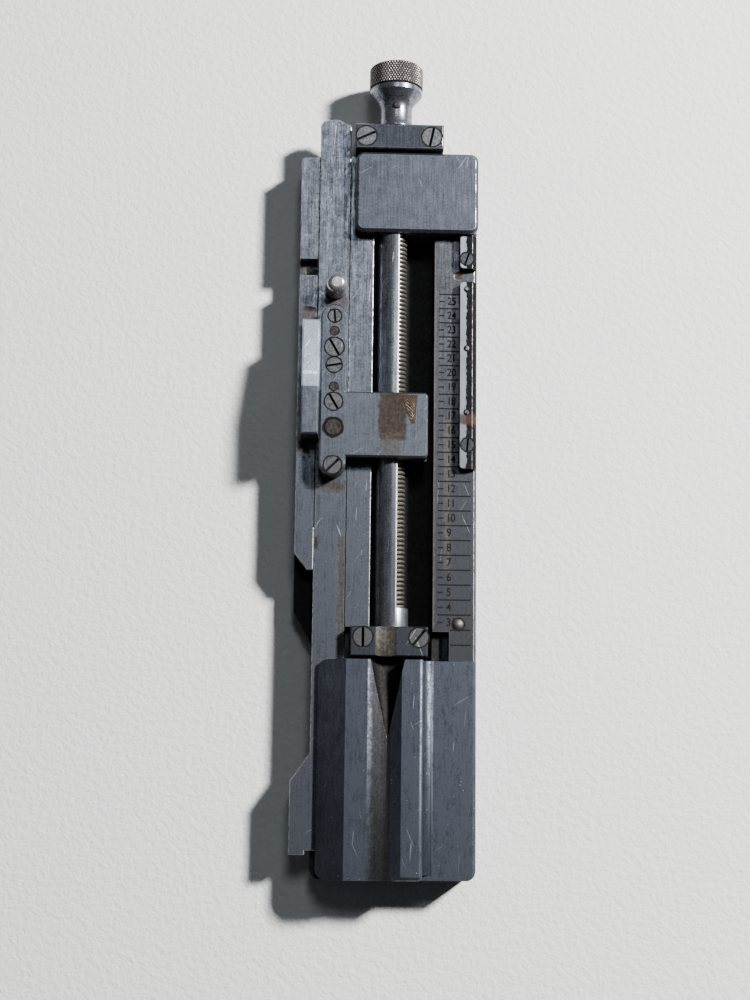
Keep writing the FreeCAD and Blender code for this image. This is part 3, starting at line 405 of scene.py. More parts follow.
def arm_metal():
    """The carriage block: rubbed steel, a brown stain where the arm bridges the tube, painted shade on the
    sides.
    """
    return worn_metal(
        "carriage_steel", (0.042, 0.047, 0.060), (0.135, 0.150, 0.180), roughness=(0.34, 0.50), specks=0.6,
        stains=(
            stain((0.042, 0.027, 0.019), 0.9, 0.6, x=span(axis_x, -4.35, 3.65), y=span(boss_y, 10.4, 24.1),
                  ragged=1.8, soft=0.8, per_mm=0.5),
            stain((0.085, 0.070, 0.055), 0.6, 0.5, x=span(axis_x, -3.35, 2.25), y=span(boss_y, 5.4, 12.4),
                  ragged=1.8, soft=1.0, per_mm=0.5),
            # painted shade: everything more than 2.5 mm below the top of the carriage is darkened
            stain(PAINTED_SHADE_BLACK, 0.7, 0.6, z=(0, carriage_z - 2.5 * MM), ragged=0.3, soft=1.0),
        ))


def scale_metal():
    """The graduated plate: a dirty rubbed line through its figures and brown along its left edge."""
    return plate_metal(
        "scale_plate_steel", dark=(0.026, 0.028, 0.034), light=(0.105, 0.110, 0.125), specks=0.3,
        scratches=0.3, stains=(
            stain((0.05, 0.042, 0.03), 0.8, 0.6, x=span(scale_left, 4.65, 5.1), y=span(foot_y, -0.5, 60.3),
                  ragged=0.25, soft=0.15),
            stain((0.10, 0.09, 0.075), 0.5, 0.6, x=span(scale_left, 3.05, 4.85), y=span(foot_y, 16.3, 60.3),
                  ragged=0.8, soft=0.6),
            stain((0.12, 0.105, 0.085), 0.55, 0.6, x=span(scale_left, -1.0, 0.5), y=(foot_y, head_y),
                  ragged=0.3, soft=0.3),
        ))


def stop_bar_metal():
    """The stop bars: chipped black paint on the outer part, bare metal along the inner part."""
    shade = Shade("stop_bar_chipped_paint")
    wander = shade.add(shade.noise(0.7, detail=6.0, rough=0.65), -0.5)
    across = shade.add(shade.x, shade.times(wander, 2.0 * MM))
    paint = shade.ramp(across, *span(stop_left, 1.85, 2.0))
    side = shade.ramp(shade.z, stop_z - 0.3 * MM, stop_z - 0.2 * MM, 1.0, 0.0)
    paint = shade.calc("MAXIMUM", paint, side)
    tone = shade.noise(0.4, stretch=(1, 0.3, 1), detail=4.0)
    bare = shade.blend(tone, (0.14, 0.15, 0.175), (0.40, 0.43, 0.48))
    faded = shade.ramp(shade.noise(1.2, detail=5.0, shift=0.02), 0.52, 0.7)
    black = shade.blend(faded, (0.003, 0.003, 0.004), (0.016, 0.016, 0.020))
    rust = shade.patch(y=span(stop_y, 12.72, 15.72), ragged=0.8, soft=0.4)
    colour = shade.blend(shade.times(rust, 0.8), shade.blend(paint, bare, black), RUST)
    rough = shade.ramp(paint, 0.0, 1.0, 0.34, 0.75)
    shade.surface.inputs["Specular IOR Level"].default_value = 0.1
    metal = shade.ramp(paint, 0.0, 1.0, 0.9, 0.0)
    height = shade.add(paint, shade.times(shade.noise(2.5, detail=3.0), 0.3))
    return shade.finish(colour, rough, height, metal, 0.06, 0.8)


def black_metal():
    """Blackened pins, rubbed on top."""
    shade = Shade("blackened_steel")
    rubbed = shade.ramp(shade.noise(0.9, detail=4.0), 0.48, 0.62)
    colour = shade.blend(rubbed, (0.012, 0.012, 0.014), (0.22, 0.23, 0.25))
    return shade.finish(colour, shade.ramp(rubbed, 0, 1, 0.5, 0.32), shade.noise(3.0), 0.7, 0.03)


def bronze_metal(name="oily_bronze"):
    """Dull bronze with dark oil in it."""
    shade = Shade(name)
    cloud = shade.noise(0.6, detail=5.0)
    colour = shade.blend(shade.ramp(cloud, 0.35, 0.65), (0.020, 0.014, 0.010), (0.11, 0.07, 0.042))
    return shade.finish(colour, shade.ramp(cloud, 0.3, 0.7, 0.6, 0.4), shade.noise(2.5), 0.8, 0.02)


def brown_metal():
    """The rust-browned button and dowels."""
    shade = Shade("browned_steel")
    cloud = shade.noise(1.1, detail=5.0)
    colour = shade.blend(shade.ramp(cloud, 0.38, 0.62), (0.010, 0.009, 0.008), (0.042, 0.036, 0.033))
    return shade.finish(colour, shade.ramp(cloud, 0.3, 0.7, 0.62, 0.45), shade.noise(4.0), 0.7, 0.03)


def screw_metal(name, top=None, dark=(0.035, 0.036, 0.040), light=(0.17, 0.175, 0.185)):
    """Turned screw heads: fine grit, and painted shade in the slot, which lies below the top of the head."""
    slots = ()
    if top is not None:
        # painted shade: the slot, below the top of the head, is blackened
        slots = (stain(PAINTED_SHADE_BLACK, 1.0, 0.6, z=(-1 * MM, top - 0.3 * MM), ragged=0.02, soft=0.06),)
    return worn_metal(name, dark, light, roughness=(0.32, 0.5), grain=(4.0, 1.2, 1.0), grain_turn=37.0,
                      mottle=0.9, specks=0.3, scratches=0.6, stains=slots)


def head_metal():
    """The head block: blued steel, a little less rough than the bed."""
    return worn_metal("head_block_steel", (0.030, 0.034, 0.046), (0.105, 0.115, 0.145),
                      roughness=(0.38, 0.52), specks=0.3, scratches=0.5)


def bracket_metal():
    """The two brackets: nearly black, with a painted brown reflection on the foot bracket over the screw."""
    return worn_metal(
        "bracket_steel", (0.013, 0.014, 0.020), (0.052, 0.058, 0.073), roughness=(0.4, 0.55), specks=0.4,
        mottle=0.3, stains=(
            # painted reflection: a brown sheen in the hollow of the foot bracket
            stain((0.10, 0.085, 0.06), 0.65, 0.6, x=span(axis_x, -4.3, 1.2), y=span(foot_y, -8.3, 0.0),
                  ragged=0.8, soft=0.5),
        ))


def tube_metal():
    """The guide tube: bright, with fine lines along it."""
    return worn_metal("guide_tube_steel", BRIGHT_DARK, BRIGHT_LIGHT, roughness=(0.28, 0.40), specks=0.3,
                      grain=(2.4, 0.08, 2.4), scratches=0.4)


def jaw_metal():
    """The jaw: polished, with painted shade on the half toward the handle."""
    return worn_metal(
        "jaw_steel", (0.30, 0.34, 0.43), (0.66, 0.72, 0.85), roughness=(0.24, 0.36), specks=0.3, stains=(
            # painted shade: the lower half of the jaw is darkened
            stain((0.085, 0.09, 0.11), 0.85, 0.36, y=(jaw_low_y - 1 * MM, jaw_middle), ragged=0.1, soft=0.2),
        ))


def stud_metal():
    """The domed stud and rivet: polished, with rust round the foot."""
    return worn_metal(
        "stud_steel", (0.16, 0.16, 0.17), (0.46, 0.46, 0.48), roughness=(0.18, 0.32), specks=0.2,
        scratches=0.1, stains=(stain(RUST, 0.7, 0.7, z=span(deck_z, -1.0, 1.4), ragged=0.8, soft=0.4),))


def knob_metal(name, dark, light, roughness):
    """The knob's metals, without the grain of a ground plate."""
    return worn_metal(name, dark, light, roughness=roughness, grain=(1.0, 5.0, 1.0), mottle=0.5, specks=0.3,
                      scratches=0.15)


# ---- mesh kit ----
def new_piece(name, verts, faces, material, body, smooth=False):
    """A mesh piece that rides on a body."""
    mesh = bpy.data.meshes.new(name)
    mesh.from_pydata(verts, [], faces)
    mesh.update()
    mesh.materials.append(material)
    if smooth:
        mesh.shade_smooth()
    piece = bpy.data.objects.new(name, mesh)
    bpy.context.collection.objects.link(piece)
    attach(piece, body)
    return piece


def turned_mesh(rings, around, radius_at):
    """Verts and faces of a body turned about the screw's line. rings are the Y places of its rows."""
    verts = []
    for y in rings:
        for k in range(around):
            angle = 2 * math.pi * k / around
            radius = radius_at(angle, y)
            verts.append((axis_x + radius * math.sin(angle), y, axis_z + radius * math.cos(angle)))
    faces = []
    for row in range(len(rings) - 1):
        for k in range(around):
            after = (k + 1) % around
            a = row * around
            b = a + around
            faces.append((a + k, a + after, b + after, b + k))
    count = (len(rings) - 1) * around
    faces.append(tuple(reversed(range(around))))
    faces.append(tuple(range(count, count + around)))
    return verts, faces


def saw(value):
    """1 on a ridge, 0 in a groove, once for each whole number."""
    part = value - math.floor(value)
    return 1 - abs(2 * part - 1)


def smooth_by_angle(piece, degrees=35.0):
    """Smooth shading that stays sharp past an angle."""
    mesh = piece.data
    mesh.shade_smooth()
    shape = bmesh.new()
    shape.from_mesh(mesh)
    for edge in shape.edges:
        if len(edge.link_faces) == 2:
            edge.smooth = edge.calc_face_angle(0.0) < math.radians(degrees)
    shape.to_mesh(mesh)
    shape.free()


# ---- pieces that replace a plain CAD node ----
def profile_radius(profile, y):
    """The radius at y on a list of (y, radius), eased between neighbours."""
    for (y0, r0), (y1, r1) in zip(profile, profile[1:]):
        if y <= y1:
            share = 0 if y1 == y0 else (y - y0) / (y1 - y0)
            return r0 + (r1 - r0) * share
    return profile[-1][1]


def make_knob():
    """The knob with its diamond knurl."""
    start, end = low("knob").y, high("knob").y
    knurl_start = end - KNURL_LENGTH
    points = [(start + along * MM, radius * MM) for along, radius in KNOB_PROFILE_MM]
    rows = [y for y, _ in points]
    turns = round(2 * math.pi * knob_radius / KNURL_PITCH)
    knurl_rows = [knurl_start + (end - knurl_start) * k / KNURL_ROWS for k in range(KNURL_ROWS + 1)]

    def radius_at(angle, y):
        if y < knurl_start - 1e-7:
            return profile_radius(points, y)
        along = (y - knurl_start) / KNURL_PITCH * KNURL_SLOPE
        turn = angle / (2 * math.pi) * turns
        ridge = min(1.0, 1.5 * min(saw(turn + along), saw(turn - along)))
        rim = min(y - knurl_start, end - y)
        fade = min(1.0, max(0.0, rim / KNURL_CHAMFER))
        return knob_radius - KNURL_CHAMFER * (1 - fade) - KNURL_DEPTH * (1 - ridge) * fade

    verts, faces = turned_mesh(rows + knurl_rows, KNOB_AROUND, radius_at)
    knob = new_piece("knob_knurled", verts, faces, knob_metal(
        "knob_steel", (0.05, 0.053, 0.066), (0.26, 0.275, 0.32), (0.20, 0.34)), "spindle")
    knob.data.materials.append(knurl_metal())
    for face in knob.data.polygons:
        face.material_index = 1 if face.center.y > knurl_start else 0
    smooth_by_angle(knob, 28.0)
    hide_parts("knob")


def knurl_metal():
    """The knurled band: warm grey, dirt in the grooves, rubbed points."""
    shade = Shade("knurl_steel")
    dx = shade.add(shade.x, -axis_x)
    dz = shade.add(shade.z, -axis_z)
    radius = shade.calc("SQRT", shade.add(shade.times(dx, dx), shade.times(dz, dz)))
    rubbed = shade.ramp(radius, knob_radius - KNURL_DEPTH * 0.9, knob_radius - KNURL_DEPTH * 0.15)
    cloud = shade.noise(0.5, detail=5.0)
    colour = shade.blend(rubbed, (0.018, 0.015, 0.014), (0.24, 0.225, 0.22))
    colour = shade.blend(shade.ramp(cloud, 0.55, 0.75, 0.0, 0.5), colour, (0.12, 0.09, 0.075))
    return shade.finish(colour, shade.ramp(rubbed, 0, 1, 0.6, 0.34), shade.noise(4.0), 0.9, 0.02)


def make_lead_screw():
    """The screw with its helical thread; it turns with the spindle, so the thread is a real helix."""
    start, end = low("lead_screw").y, high("lead_screw").y
    outer = (high("lead_screw").x - low("lead_screw").x) / 2
    thread_start = foot_y + THREAD_FROM_FOOT
    thread_end = head_y + THREAD_PAST_HEAD
    count = int((thread_end - thread_start) / THREAD_PITCH * ROWS_PER_THREAD)
    rows = [start, thread_start - 0.01 * MM]
    rows += [thread_start + (thread_end - thread_start) * k / count for k in range(count + 1)]
    rows += [thread_end + 0.01 * MM, end]

    def radius_at(angle, y):
        if y < thread_start:
            return JOURNAL_RADIUS
        if y > thread_end:
            return NECK_RADIUS
        ridge = saw(y / THREAD_PITCH - angle / (2 * math.pi))
        flank = min(1.0, max(0.0, 1.35 * ridge - 0.12))
        fade = min(1.0, (y - thread_start) / THREAD_PITCH, (thread_end - y) / THREAD_PITCH)
        return outer - THREAD_DEPTH * (1 - flank) - (1 - fade) * THREAD_RUNOUT

    verts, faces = turned_mesh(rows, SCREW_AROUND, radius_at)
    screw = new_piece("lead_screw_threaded", verts, faces, thread_metal(outer), "spindle")
    smooth_by_angle(screw, 40.0)
    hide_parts("lead_screw")


def thread_metal(outer):
    """The thread: painted highlight on the crests, painted shade in the roots, and patches of oil."""
    shade = Shade("thread_steel")
    dx = shade.add(shade.x, -axis_x)
    dz = shade.add(shade.z, -axis_z)
    radius = shade.calc("SQRT", shade.add(shade.times(dx, dx), shade.times(dz, dz)))
    # painted highlight and shade: crests light, roots black, by distance from the axis
    crest = shade.ramp(radius, outer - THREAD_DEPTH * 0.75, outer - THREAD_DEPTH * 0.2)
    colour = shade.blend(crest, (0.03, 0.026, 0.02), (0.60, 0.58, 0.52))
    oil = shade.ramp(shade.noise(0.3, detail=4.0), 0.5, 0.7, 0.0, 0.5)
    colour = shade.blend(oil, colour, (0.10, 0.08, 0.05))
    return shade.finish(colour, shade.ramp(crest, 0, 1, 0.6, 0.3), shade.noise(3.0), 0.9, 0.02)


# ---- graduations ----
def flat_box(shape, x0, x1, y0, y1, z0, z1):
    """Add a thin block to a bmesh."""
    size = Vector((x1 - x0, y1 - y0, z1 - z0))
    place = Vector(((x0 + x1) / 2, (y0 + y1) / 2, (z0 + z1) / 2))
    bmesh.ops.create_cube(shape, size=1.0, matrix=Matrix.Translation(place) @ Matrix.Diagonal((*size, 1)))


def ink_metal():
    """The black filling of the graduations, worn thin in places."""
    shade = Shade("graduation_ink")
    worn = shade.ramp(shade.noise(1.5, detail=4.0), 0.62, 0.75)
    colour = shade.blend(worn, (0.004, 0.004, 0.005), (0.03, 0.03, 0.03))
    shade.surface.inputs["Specular IOR Level"].default_value = 0.12
    return shade.finish(colour, shade.ramp(worn, 0, 1, 0.6, 0.45), shade.noise(4.0), 0.0, 0.01)


def make_graduations():
    """Whole-pica lines and half-pica dashes, filled black."""
    shape = bmesh.new()
    dash_left, dash_right = span(scale_left, 1.35, 2.9)
    line_left, line_right = span(scale_left, 1.3, 7.6)
    low_line_left, low_line_right = span(scale_left, 4.9, 10.65)
    bottom, top = deck_z - INK_UNDER_DECK, deck_z + INK_OVER_DECK
    for k in range(-LINES_BELOW, LINES_ABOVE + 1):
        y = foot_y + FIRST_LINE + k * PICA
        if y < handle_y + LOWEST_LINE:
            continue
        x0 = low_line_left if k < 0 else line_left
        x1 = low_line_right if y < stop_y else line_right
        y0, y1 = y - INK_HALF_WIDTH, y + INK_HALF_WIDTH
        flat_box(shape, x0, x1, y0, y1, bottom, top)
        if -1 <= k < LINES_ABOVE:
            flat_box(shape, dash_left, dash_right, y0 + PICA / 2, y1 + PICA / 2, bottom, top)
    mesh = bpy.data.meshes.new("graduations")
    shape.to_mesh(mesh)
    shape.free()
    mesh.materials.append(INK_FILL)
    piece = bpy.data.objects.new("graduations", mesh)
    bpy.context.collection.objects.link(piece)
    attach(piece, "bed")


def make_numbers():
    """The plain figures beside the half-pica dashes."""
    for number in range(FIRST_NUMBER, FIRST_NUMBER + LINES_ABOVE + 1):
        y = foot_y + FIRST_LINE + (number - FIRST_NUMBER - 0.5) * PICA
        curve = bpy.data.curves.new(f"figure_{number}", "FONT")
        curve.body = str(number)
        curve.size = FIGURE_HEIGHT
        curve.offset = FIGURE_SWELL
        curve.extrude = INK_OVER_DECK
        curve.align_x = "LEFT"
        curve.align_y = "CENTER"
        curve.space_character = 0.92
        text = bpy.data.objects.new(f"figure_{number}_text", curve)
        bpy.context.collection.objects.link(text)
        bpy.context.view_layer.update()
        mesh = bpy.data.meshes.new_from_object(text.evaluated_get(bpy.context.evaluated_depsgraph_get()))
        bpy.data.objects.remove(text)
        left = scale_left + FIGURE_PLACE + (SINGLE_FIGURE_SHIFT if number < 10 else 0.0)
        mesh.transform(Matrix.Translation((left, y, deck_z)) @ Matrix.Diagonal((FIGURE_NARROWING, 1, 1, 1)))
        mesh.materials.clear()
        mesh.materials.append(INK_FILL)
        piece = bpy.data.objects.new(f"figure_{number}", mesh)
        bpy.context.collection.objects.link(piece)
        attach(piece, "bed")


# ---- wear, and painted shade in gaps, with a shape of its own ----
def make_filed_patch():
    """The filed hatch on the arm: slanted burrs across a brown scar."""
    x0, x1 = span(axis_x, 2.15, 6.55)
    y0, y1 = span(boss_y, 15.094, 23.294)
    columns, rows = 60, 90
    top = carriage_z + SCAR_OVER_ARM
    verts = []
    for j in range(rows + 1):
        v = j / rows
        left = x0 + (1 - v) ** 1.3 * (x1 - x0) * 0.62
        right = x1 - (1 - v) * 0.6 * MM
        for i in range(columns + 1):
            u = i / columns
            x = left + (right - left) * u
            y = y0 + (y1 - y0) * v
            wave = saw((y + 1.25 * x) / SCAR_BURR_PITCH + 0.25 * math.sin(9 * u))
            edge = min(1.0, 6 * min(u, 1 - u, v, 1 - v))
            verts.append((x, y, top + edge * SCAR_BURR_HEIGHT * wave ** 2))
    wide = columns + 1
    faces = [(j * wide + i, j * wide + i + 1, (j + 1) * wide + i + 1, (j + 1) * wide + i)
             for j in range(rows) for i in range(columns)]
    shade = Shade("filed_scar")
    crest = shade.ramp(shade.z, *span(top, 0.045, 0.075))
    streak = shade.ramp(shade.noise(0.7, detail=4.0), 0.42, 0.55)
    colour = shade.blend(shade.times(crest, streak), (0.035, 0.022, 0.015), (0.24, 0.21, 0.18))
    metal = shade.finish(colour, shade.ramp(crest, 0, 1, 0.6, 0.32), shade.noise(3.0), 0.8, 0.02)
    patch = new_piece("filed_scar", verts, faces, metal, "carriage", smooth=True)
    solid = patch.modifiers.new("thickness", "SOLIDIFY")
    solid.thickness = SCAR_THICKNESS
    solid.offset = -1.0


def make_flakes():
    """Loose chips of black dirt on the edge strips and in the gap between them."""
    chooser = random.Random(11)
    shade = Shade("dirt_flakes")
    colour = shade.blend(shade.noise(1.5, detail=4.0), (0.012, 0.011, 0.010), (0.085, 0.07, 0.045))
    rough = shade.ramp(shade.noise(0.8), 0.3, 0.7, 0.55, 0.85)
    dirt = shade.finish(colour, rough, shade.noise(4.0), 0.0, 0.04)
    patches = (
        (16, (1.0, 4.6), span(jaw_low_y, 5.695, 10.195), deck_z, (0.25, 0.85)),
        (26, (0.6, 4.8), span(gap_low_y, 0.3, 4.3), recess_z, (0.3, 0.9)),
        (7, (1.6, 4.4), span(jaw_high_y, -1.595, 0.605), deck_z, (0.25, 0.7)),
    )
    spots = []
    for count, across, along, level, sizes in patches:
        for _ in range(count):
            x = strip_left + chooser.uniform(*across) * MM
            spots.append((x, chooser.uniform(*along), level, chooser.uniform(*sizes)))
    shape = bmesh.new()
    for x, y, z, size in spots:
        made = bmesh.ops.create_icosphere(shape, subdivisions=1, radius=size * MM)["verts"]
        for vert in made:
            jitter = 1 + chooser.uniform(-0.35, 0.35)
            lift = max(0.0, vert.co.z) * (0.22 if z < deck_z else 0.04)
            across = max(strip_left + 0.1 * MM, x + vert.co.x * jitter)
            vert.co = Vector((across, y + vert.co.y * jitter * 0.8, z + lift * jitter))
    mesh = bpy.data.meshes.new("dirt_flakes")
    shape.to_mesh(mesh)
    shape.free()
    mesh.materials.append(dirt)
    piece = bpy.data.objects.new("dirt_flakes", mesh)
    bpy.context.collection.objects.link(piece)
    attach(piece, "bed")


def grime_metal(name):
    """Near-black sheet for painted shade in gaps and grooves."""
    shade = Shade(name)
    colour = shade.blend(shade.noise(0.8, detail=4.0), (0.002, 0.002, 0.0025), (0.010, 0.009, 0.007))
    shade.surface.inputs["Specular IOR Level"].default_value = 0.12
    return shade.finish(colour, shade.ramp(shade.noise(2.0), 0.3, 0.7, 0.6, 0.9), shade.noise(4.0), 0.0, 0.02)


def make_seams():
    """Painted shade in the grooves along the slid bar, as black sheets. It leaves the bar's own left edge
    bare.
    """
    top = deck_z - SEAM_DROP
    runs = (
        (bar_right, foot_y - 6 * MM, head_y),
        (bar_left, low("lower_edge_strip").y + 12 * MM, high("upper_edge_strip").y),
    )
    verts, faces = [], []
    for x, y0, y1 in runs:
        first = len(verts)
        for y in (y0, y1):
            verts += [(x - SEAM_LEFT_REACH, y, top), (x + SEAM_RIGHT_REACH, y, top), (x, y, top - SEAM_DEPTH)]
        faces += [tuple(first + k for k in face) for face in
                  ((0, 1, 4, 3), (1, 2, 5, 4), (2, 0, 3, 5), (2, 1, 0), (3, 4, 5))]
    # painted shade: thin black sheets down the grooves beside the slid bar
    new_piece("seam_gap_shade", verts, faces, grime_metal("groove_gap_shade"), "bed")


def island_places(node):
    """The middle, radius and top of each separate solid in a node."""
    piece = frame["nodes"][node]
    shape = bmesh.new()
    shape.from_mesh(piece.data)
    shape.transform(piece.matrix_world)
    bmesh.ops.remove_doubles(shape, verts=shape.verts, dist=0.001 * MM)
    waiting = set(shape.verts)
    places = []
    while waiting:
        island, to_visit = [], [waiting.pop()]
        while to_visit:
            vert = to_visit.pop()
            island.append(vert.co.copy())
            for link in vert.link_edges:
                other = link.other_vert(vert)
                if other in waiting:
                    waiting.remove(other)
                    to_visit.append(other)
        top = max(co.z for co in island)
        crown = [co for co in island if co.z > top - 0.7 * MM]
        x0, x1 = min(co.x for co in crown), max(co.x for co in crown)
        y0, y1 = min(co.y for co in crown), max(co.y for co in crown)
        places.append(((x0 + x1) / 2, (y0 + y1) / 2, max(x1 - x0, y1 - y0) / 2, top))
    shape.free()
    return sorted(places)


def make_rings(name, node, body, level, growth=RING_GROWTH):
    """Painted shade in the gap round each head of a node: a black ring flush with the plate at level."""
    verts, faces = [], []
    bottom, top = level - RING_UNDER, level + RING_OVER
    for x, y, radius, _ in island_places(node):
        first = len(verts)
        inside = radius - RING_INSIDE
        for k in range(RING_AROUND):
            turn = 2 * math.pi * k / RING_AROUND
            wobble = 1 + 0.16 * math.sin(5 * turn + x / MM) + 0.1 * math.sin(11 * turn + y / MM)
            outside = radius + growth * wobble
            for reach, z in ((inside, bottom), (inside, top), (outside, top), (outside, bottom)):
                verts.append((x + reach * math.cos(turn), y + reach * math.sin(turn), z))
        for k in range(RING_AROUND):
            a = first + 4 * k
            b = first + 4 * ((k + 1) % RING_AROUND)
            for side in range(4):
                after = (side + 1) % 4
                faces.append((a + side, a + after, b + after, b + side))
    # painted shade: black rings in the gaps round the heads
    new_piece(name, verts, faces, RING_GAP_SHADE, body)


# ---- finish of the CAD nodes ----
def dress(node, metal, edge=None, width=EDGE_WIDTH, angle=32.0):
    """Give a CAD node its metal, and bevel its sharp edges so that the worn metal shows along them."""
    piece = frame["nodes"][node]
    piece.data.materials.clear()
    piece.data.materials.append(metal)
    if edge is None:
        return
    piece.data.materials.append(edge)
    weld = piece.modifiers.new("weld_corners", "WELD")
    weld.merge_threshold = 0.001 * MM
    merge = piece.modifiers.new("merge_flats", "DECIMATE")
    merge.decimate_type = "DISSOLVE"
    merge.angle_limit = math.radians(1.0)
    bevel = piece.modifiers.new("worn_edge", "BEVEL")
    bevel.width = width
    bevel.segments = 2
    bevel.limit_method = "ANGLE"
    bevel.angle_limit = math.radians(angle)
    bevel.material = 1
    bevel.use_clamp_overlap = node in CLAMPED
    bevel.harden_normals = True


# ---- stage ----
def make_floor():
    """A plain pale sheet of paper under the gauge."""
    shape = bmesh.new()
    bmesh.ops.create_grid(shape, x_segments=4, y_segments=4, size=PAPER_REACH)
    mesh = bpy.data.meshes.new("paper_floor")
    shape.to_mesh(mesh)
    shape.free()
    shade = Shade("paper")
    fibre = shade.noise(0.55, detail=4.0, rough=0.6)
    cloud = shade.noise(0.02, detail=2.0)
    colour = shade.blend(cloud, (0.74, 0.76, 0.755), (0.79, 0.80, 0.795))
    rough = shade.ramp(fibre, 0.2, 0.8, 0.85, 0.95)
    mesh.materials.append(shade.finish(colour, rough, fibre, 0.0, 0.55, 0.9))
    floor = bpy.data.objects.new("paper_floor", mesh)
    floor.location = (centre.x, centre.y, cad_low.z - PAPER_GAP)
    bpy.context.collection.objects.link(floor)


def area_light(name, direction, distance, size, power, colour=(1, 1, 1)):
    """A square soft light that faces the gauge."""
    data = bpy.data.lights.new(name, "AREA")
    data.size = size
    data.energy = power
    data.color = colour
    lamp = bpy.data.objects.new(name, data)
    way = Vector(direction).normalized()
    lamp.location = centre + way * distance
    lamp.rotation_euler = way.to_track_quat("Z", "Y").to_euler()
    bpy.context.collection.objects.link(lamp)


def make_light():
    """Soft studio light: a key from the upper right, a low fill all round."""
    area_light("key", direction=(0.93, 0.57, 1.0), distance=1.1, size=0.13, power=44.0,
               colour=(1.0, 0.985, 0.96))
    area_light("fill_left", direction=(-1.0, 0.2, 0.35), distance=1.2, size=0.6, power=0.2,
               colour=(0.86, 0.92, 1.0))
    area_light("fill_top", direction=(0.05, 0.47, 1.0), distance=1.2, size=0.26, power=1.8,
               colour=(0.88, 0.94, 1.0))
    world = bpy.data.worlds.new("studio")
    world.use_nodes = True
    background = world.node_tree.nodes["Background"]
    background.inputs["Color"].default_value = AMBIENT_COLOUR
    background.inputs["Strength"].default_value = AMBIENT_STRENGTH
    bpy.context.scene.world = world


def make_camera():
    """A hand-held view from above, near the handle end."""
    data = bpy.data.cameras.new("view")
    data.lens = CAMERA_LENS_MM
    data.sensor_width = 36.0
    data.clip_start = 0.02
    data.clip_end = 10.0
    camera = bpy.data.objects.new("view", data)
    across, along = centre.xy + CAMERA_FROM_CENTRE
    camera.location = (across, along, cad_low.z + CAMERA_HEIGHT)
    camera.rotation_euler = Euler([math.radians(angle) for angle in CAMERA_TURN_DEGREES])
    bpy.context.collection.objects.link(camera)
    bpy.context.scene.camera = camera


make_camera()
make_light()
make_floor()

EDGE_STEEL = edge_metal("edge_worn_steel", (0.58, 0.60, 0.64))
EDGE_BLUE = edge_metal("edge_worn_blued", (0.24, 0.256, 0.29))
EDGE_BLACK = edge_metal("edge_worn_black", (0.10, 0.10, 0.11), rust=0.6)
EDGE_BRIGHT = edge_metal("edge_polished", (0.52, 0.54, 0.58))
INK_FILL = ink_metal()
# the black of the painted shade in the gaps round heads
RING_GAP_SHADE = grime_metal("ring_gap_shade")
METALS = {
    "bed": bed_metal(),
    "rail": plate_metal("rail_steel", specks=0.6),
    "strip": strip_metal(),
    "scale": scale_metal(),
    "bar": bar_metal(),
    "arm": arm_metal(),
    "stop": stop_bar_metal(),
    "black": black_metal(),
    "bronze": bronze_metal(),
    "brown": brown_metal(),
    "screw": screw_metal("hidden_screw_steel"),
    "foot_screw": screw_metal("foot_screw_steel", high("foot_bracket_screws").z),
    "end_screw": screw_metal("end_screw_steel", high("end_bracket_screws").z),
    "boss_screw": screw_metal("boss_screw_steel", high("boss_screws").z),
    "stop_screw": screw_metal("stop_screw_steel", high("stop_bar_screws").z, (0.016, 0.016, 0.02),
                              (0.085, 0.09, 0.10)),
    "head": head_metal(),
    "bracket": bracket_metal(),
    "tube": tube_metal(),
    "jaw": jaw_metal(),
    "stud": stud_metal(),
    "collar": knob_metal("collar_steel", STEEL_DARK, STEEL_LIGHT, (0.35, 0.5)),
}

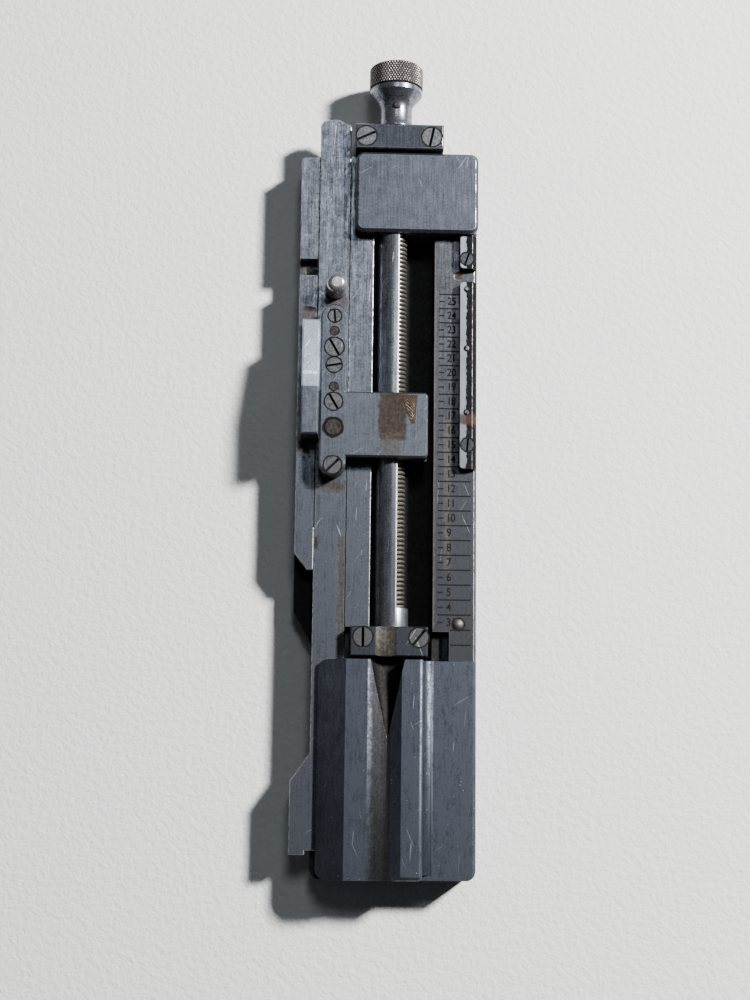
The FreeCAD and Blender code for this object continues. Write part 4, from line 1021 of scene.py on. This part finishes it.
DRESSING = (
    ("bed", EDGE_BLUE, ("base_frame",)),
    ("rail", EDGE_STEEL, ("channel_rail",), WIDE_EDGE),
    ("strip", EDGE_STEEL, ("lower_edge_strip", "upper_edge_strip"), WIDE_EDGE),
    ("scale", EDGE_STEEL, ("scale_plate",)),
    ("bar", EDGE_STEEL, ("slide_bar",), WIDE_EDGE),
    ("arm", EDGE_BRIGHT, ("carriage_block",)),
    ("stop", EDGE_BLACK, ("long_stop_bar", "short_stop_bar")),
    ("head", EDGE_BLUE, ("head_block",)),
    ("bracket", EDGE_BLUE, ("foot_bracket", "end_bracket")),
    ("tube", EDGE_BRIGHT, ("guide_tube",)),
    ("jaw", EDGE_BRIGHT, ("jaw",)),
    ("stud", None, ("stop_stud",)),
    ("black", None, ("stop_bar_pins",)),
    ("foot_screw", None, ("foot_bracket_screws",)),
    ("end_screw", None, ("end_bracket_screws",)),
    ("boss_screw", None, ("boss_screws",)),
    ("stop_screw", None, ("stop_bar_screws",)),
    ("bronze", None, ("foot_bush", "end_bush", "release_slide", "scale_locating_pin")),
    ("brown", None, ("release_button", "boss_dowels", "knob_pin")),
    ("stud", None, ("scale_rivet",)),
    ("screw", None, ("release_spring", "rail_screws", "scale_plate_screws", "edge_strip_screws",
                     "head_block_screws")),
    ("collar", None, ("thrust_collar", "collar_pin")),
)
for metal_name, edge_material, nodes, *width in DRESSING:
    for node_name in nodes:
        dress(node_name, METALS[metal_name], edge_material, *width)

make_knob()
make_lead_screw()
make_graduations()
make_numbers()
make_filed_patch()
make_flakes()
make_seams()
# Painted shade: black rings in the gaps round screw heads, dowels, button and rivet.
make_rings("foot_screw_rings", "foot_bracket_screws", "bed", high("foot_bracket").z)
make_rings("end_screw_rings", "end_bracket_screws", "bed", high("end_bracket").z)
make_rings("boss_screw_rings", "boss_screws", "carriage", carriage_z)
make_rings("dowel_rings", "boss_dowels", "carriage", carriage_z, growth=0.3 * MM)
make_rings("button_ring", "release_button", "carriage", carriage_z, growth=0.62 * MM)
make_rings("rivet_ring", "scale_rivet", "bed", deck_z, growth=0.4 * MM)
make_rings("stop_screw_rings", "stop_bar_screws", "bed", stop_z)
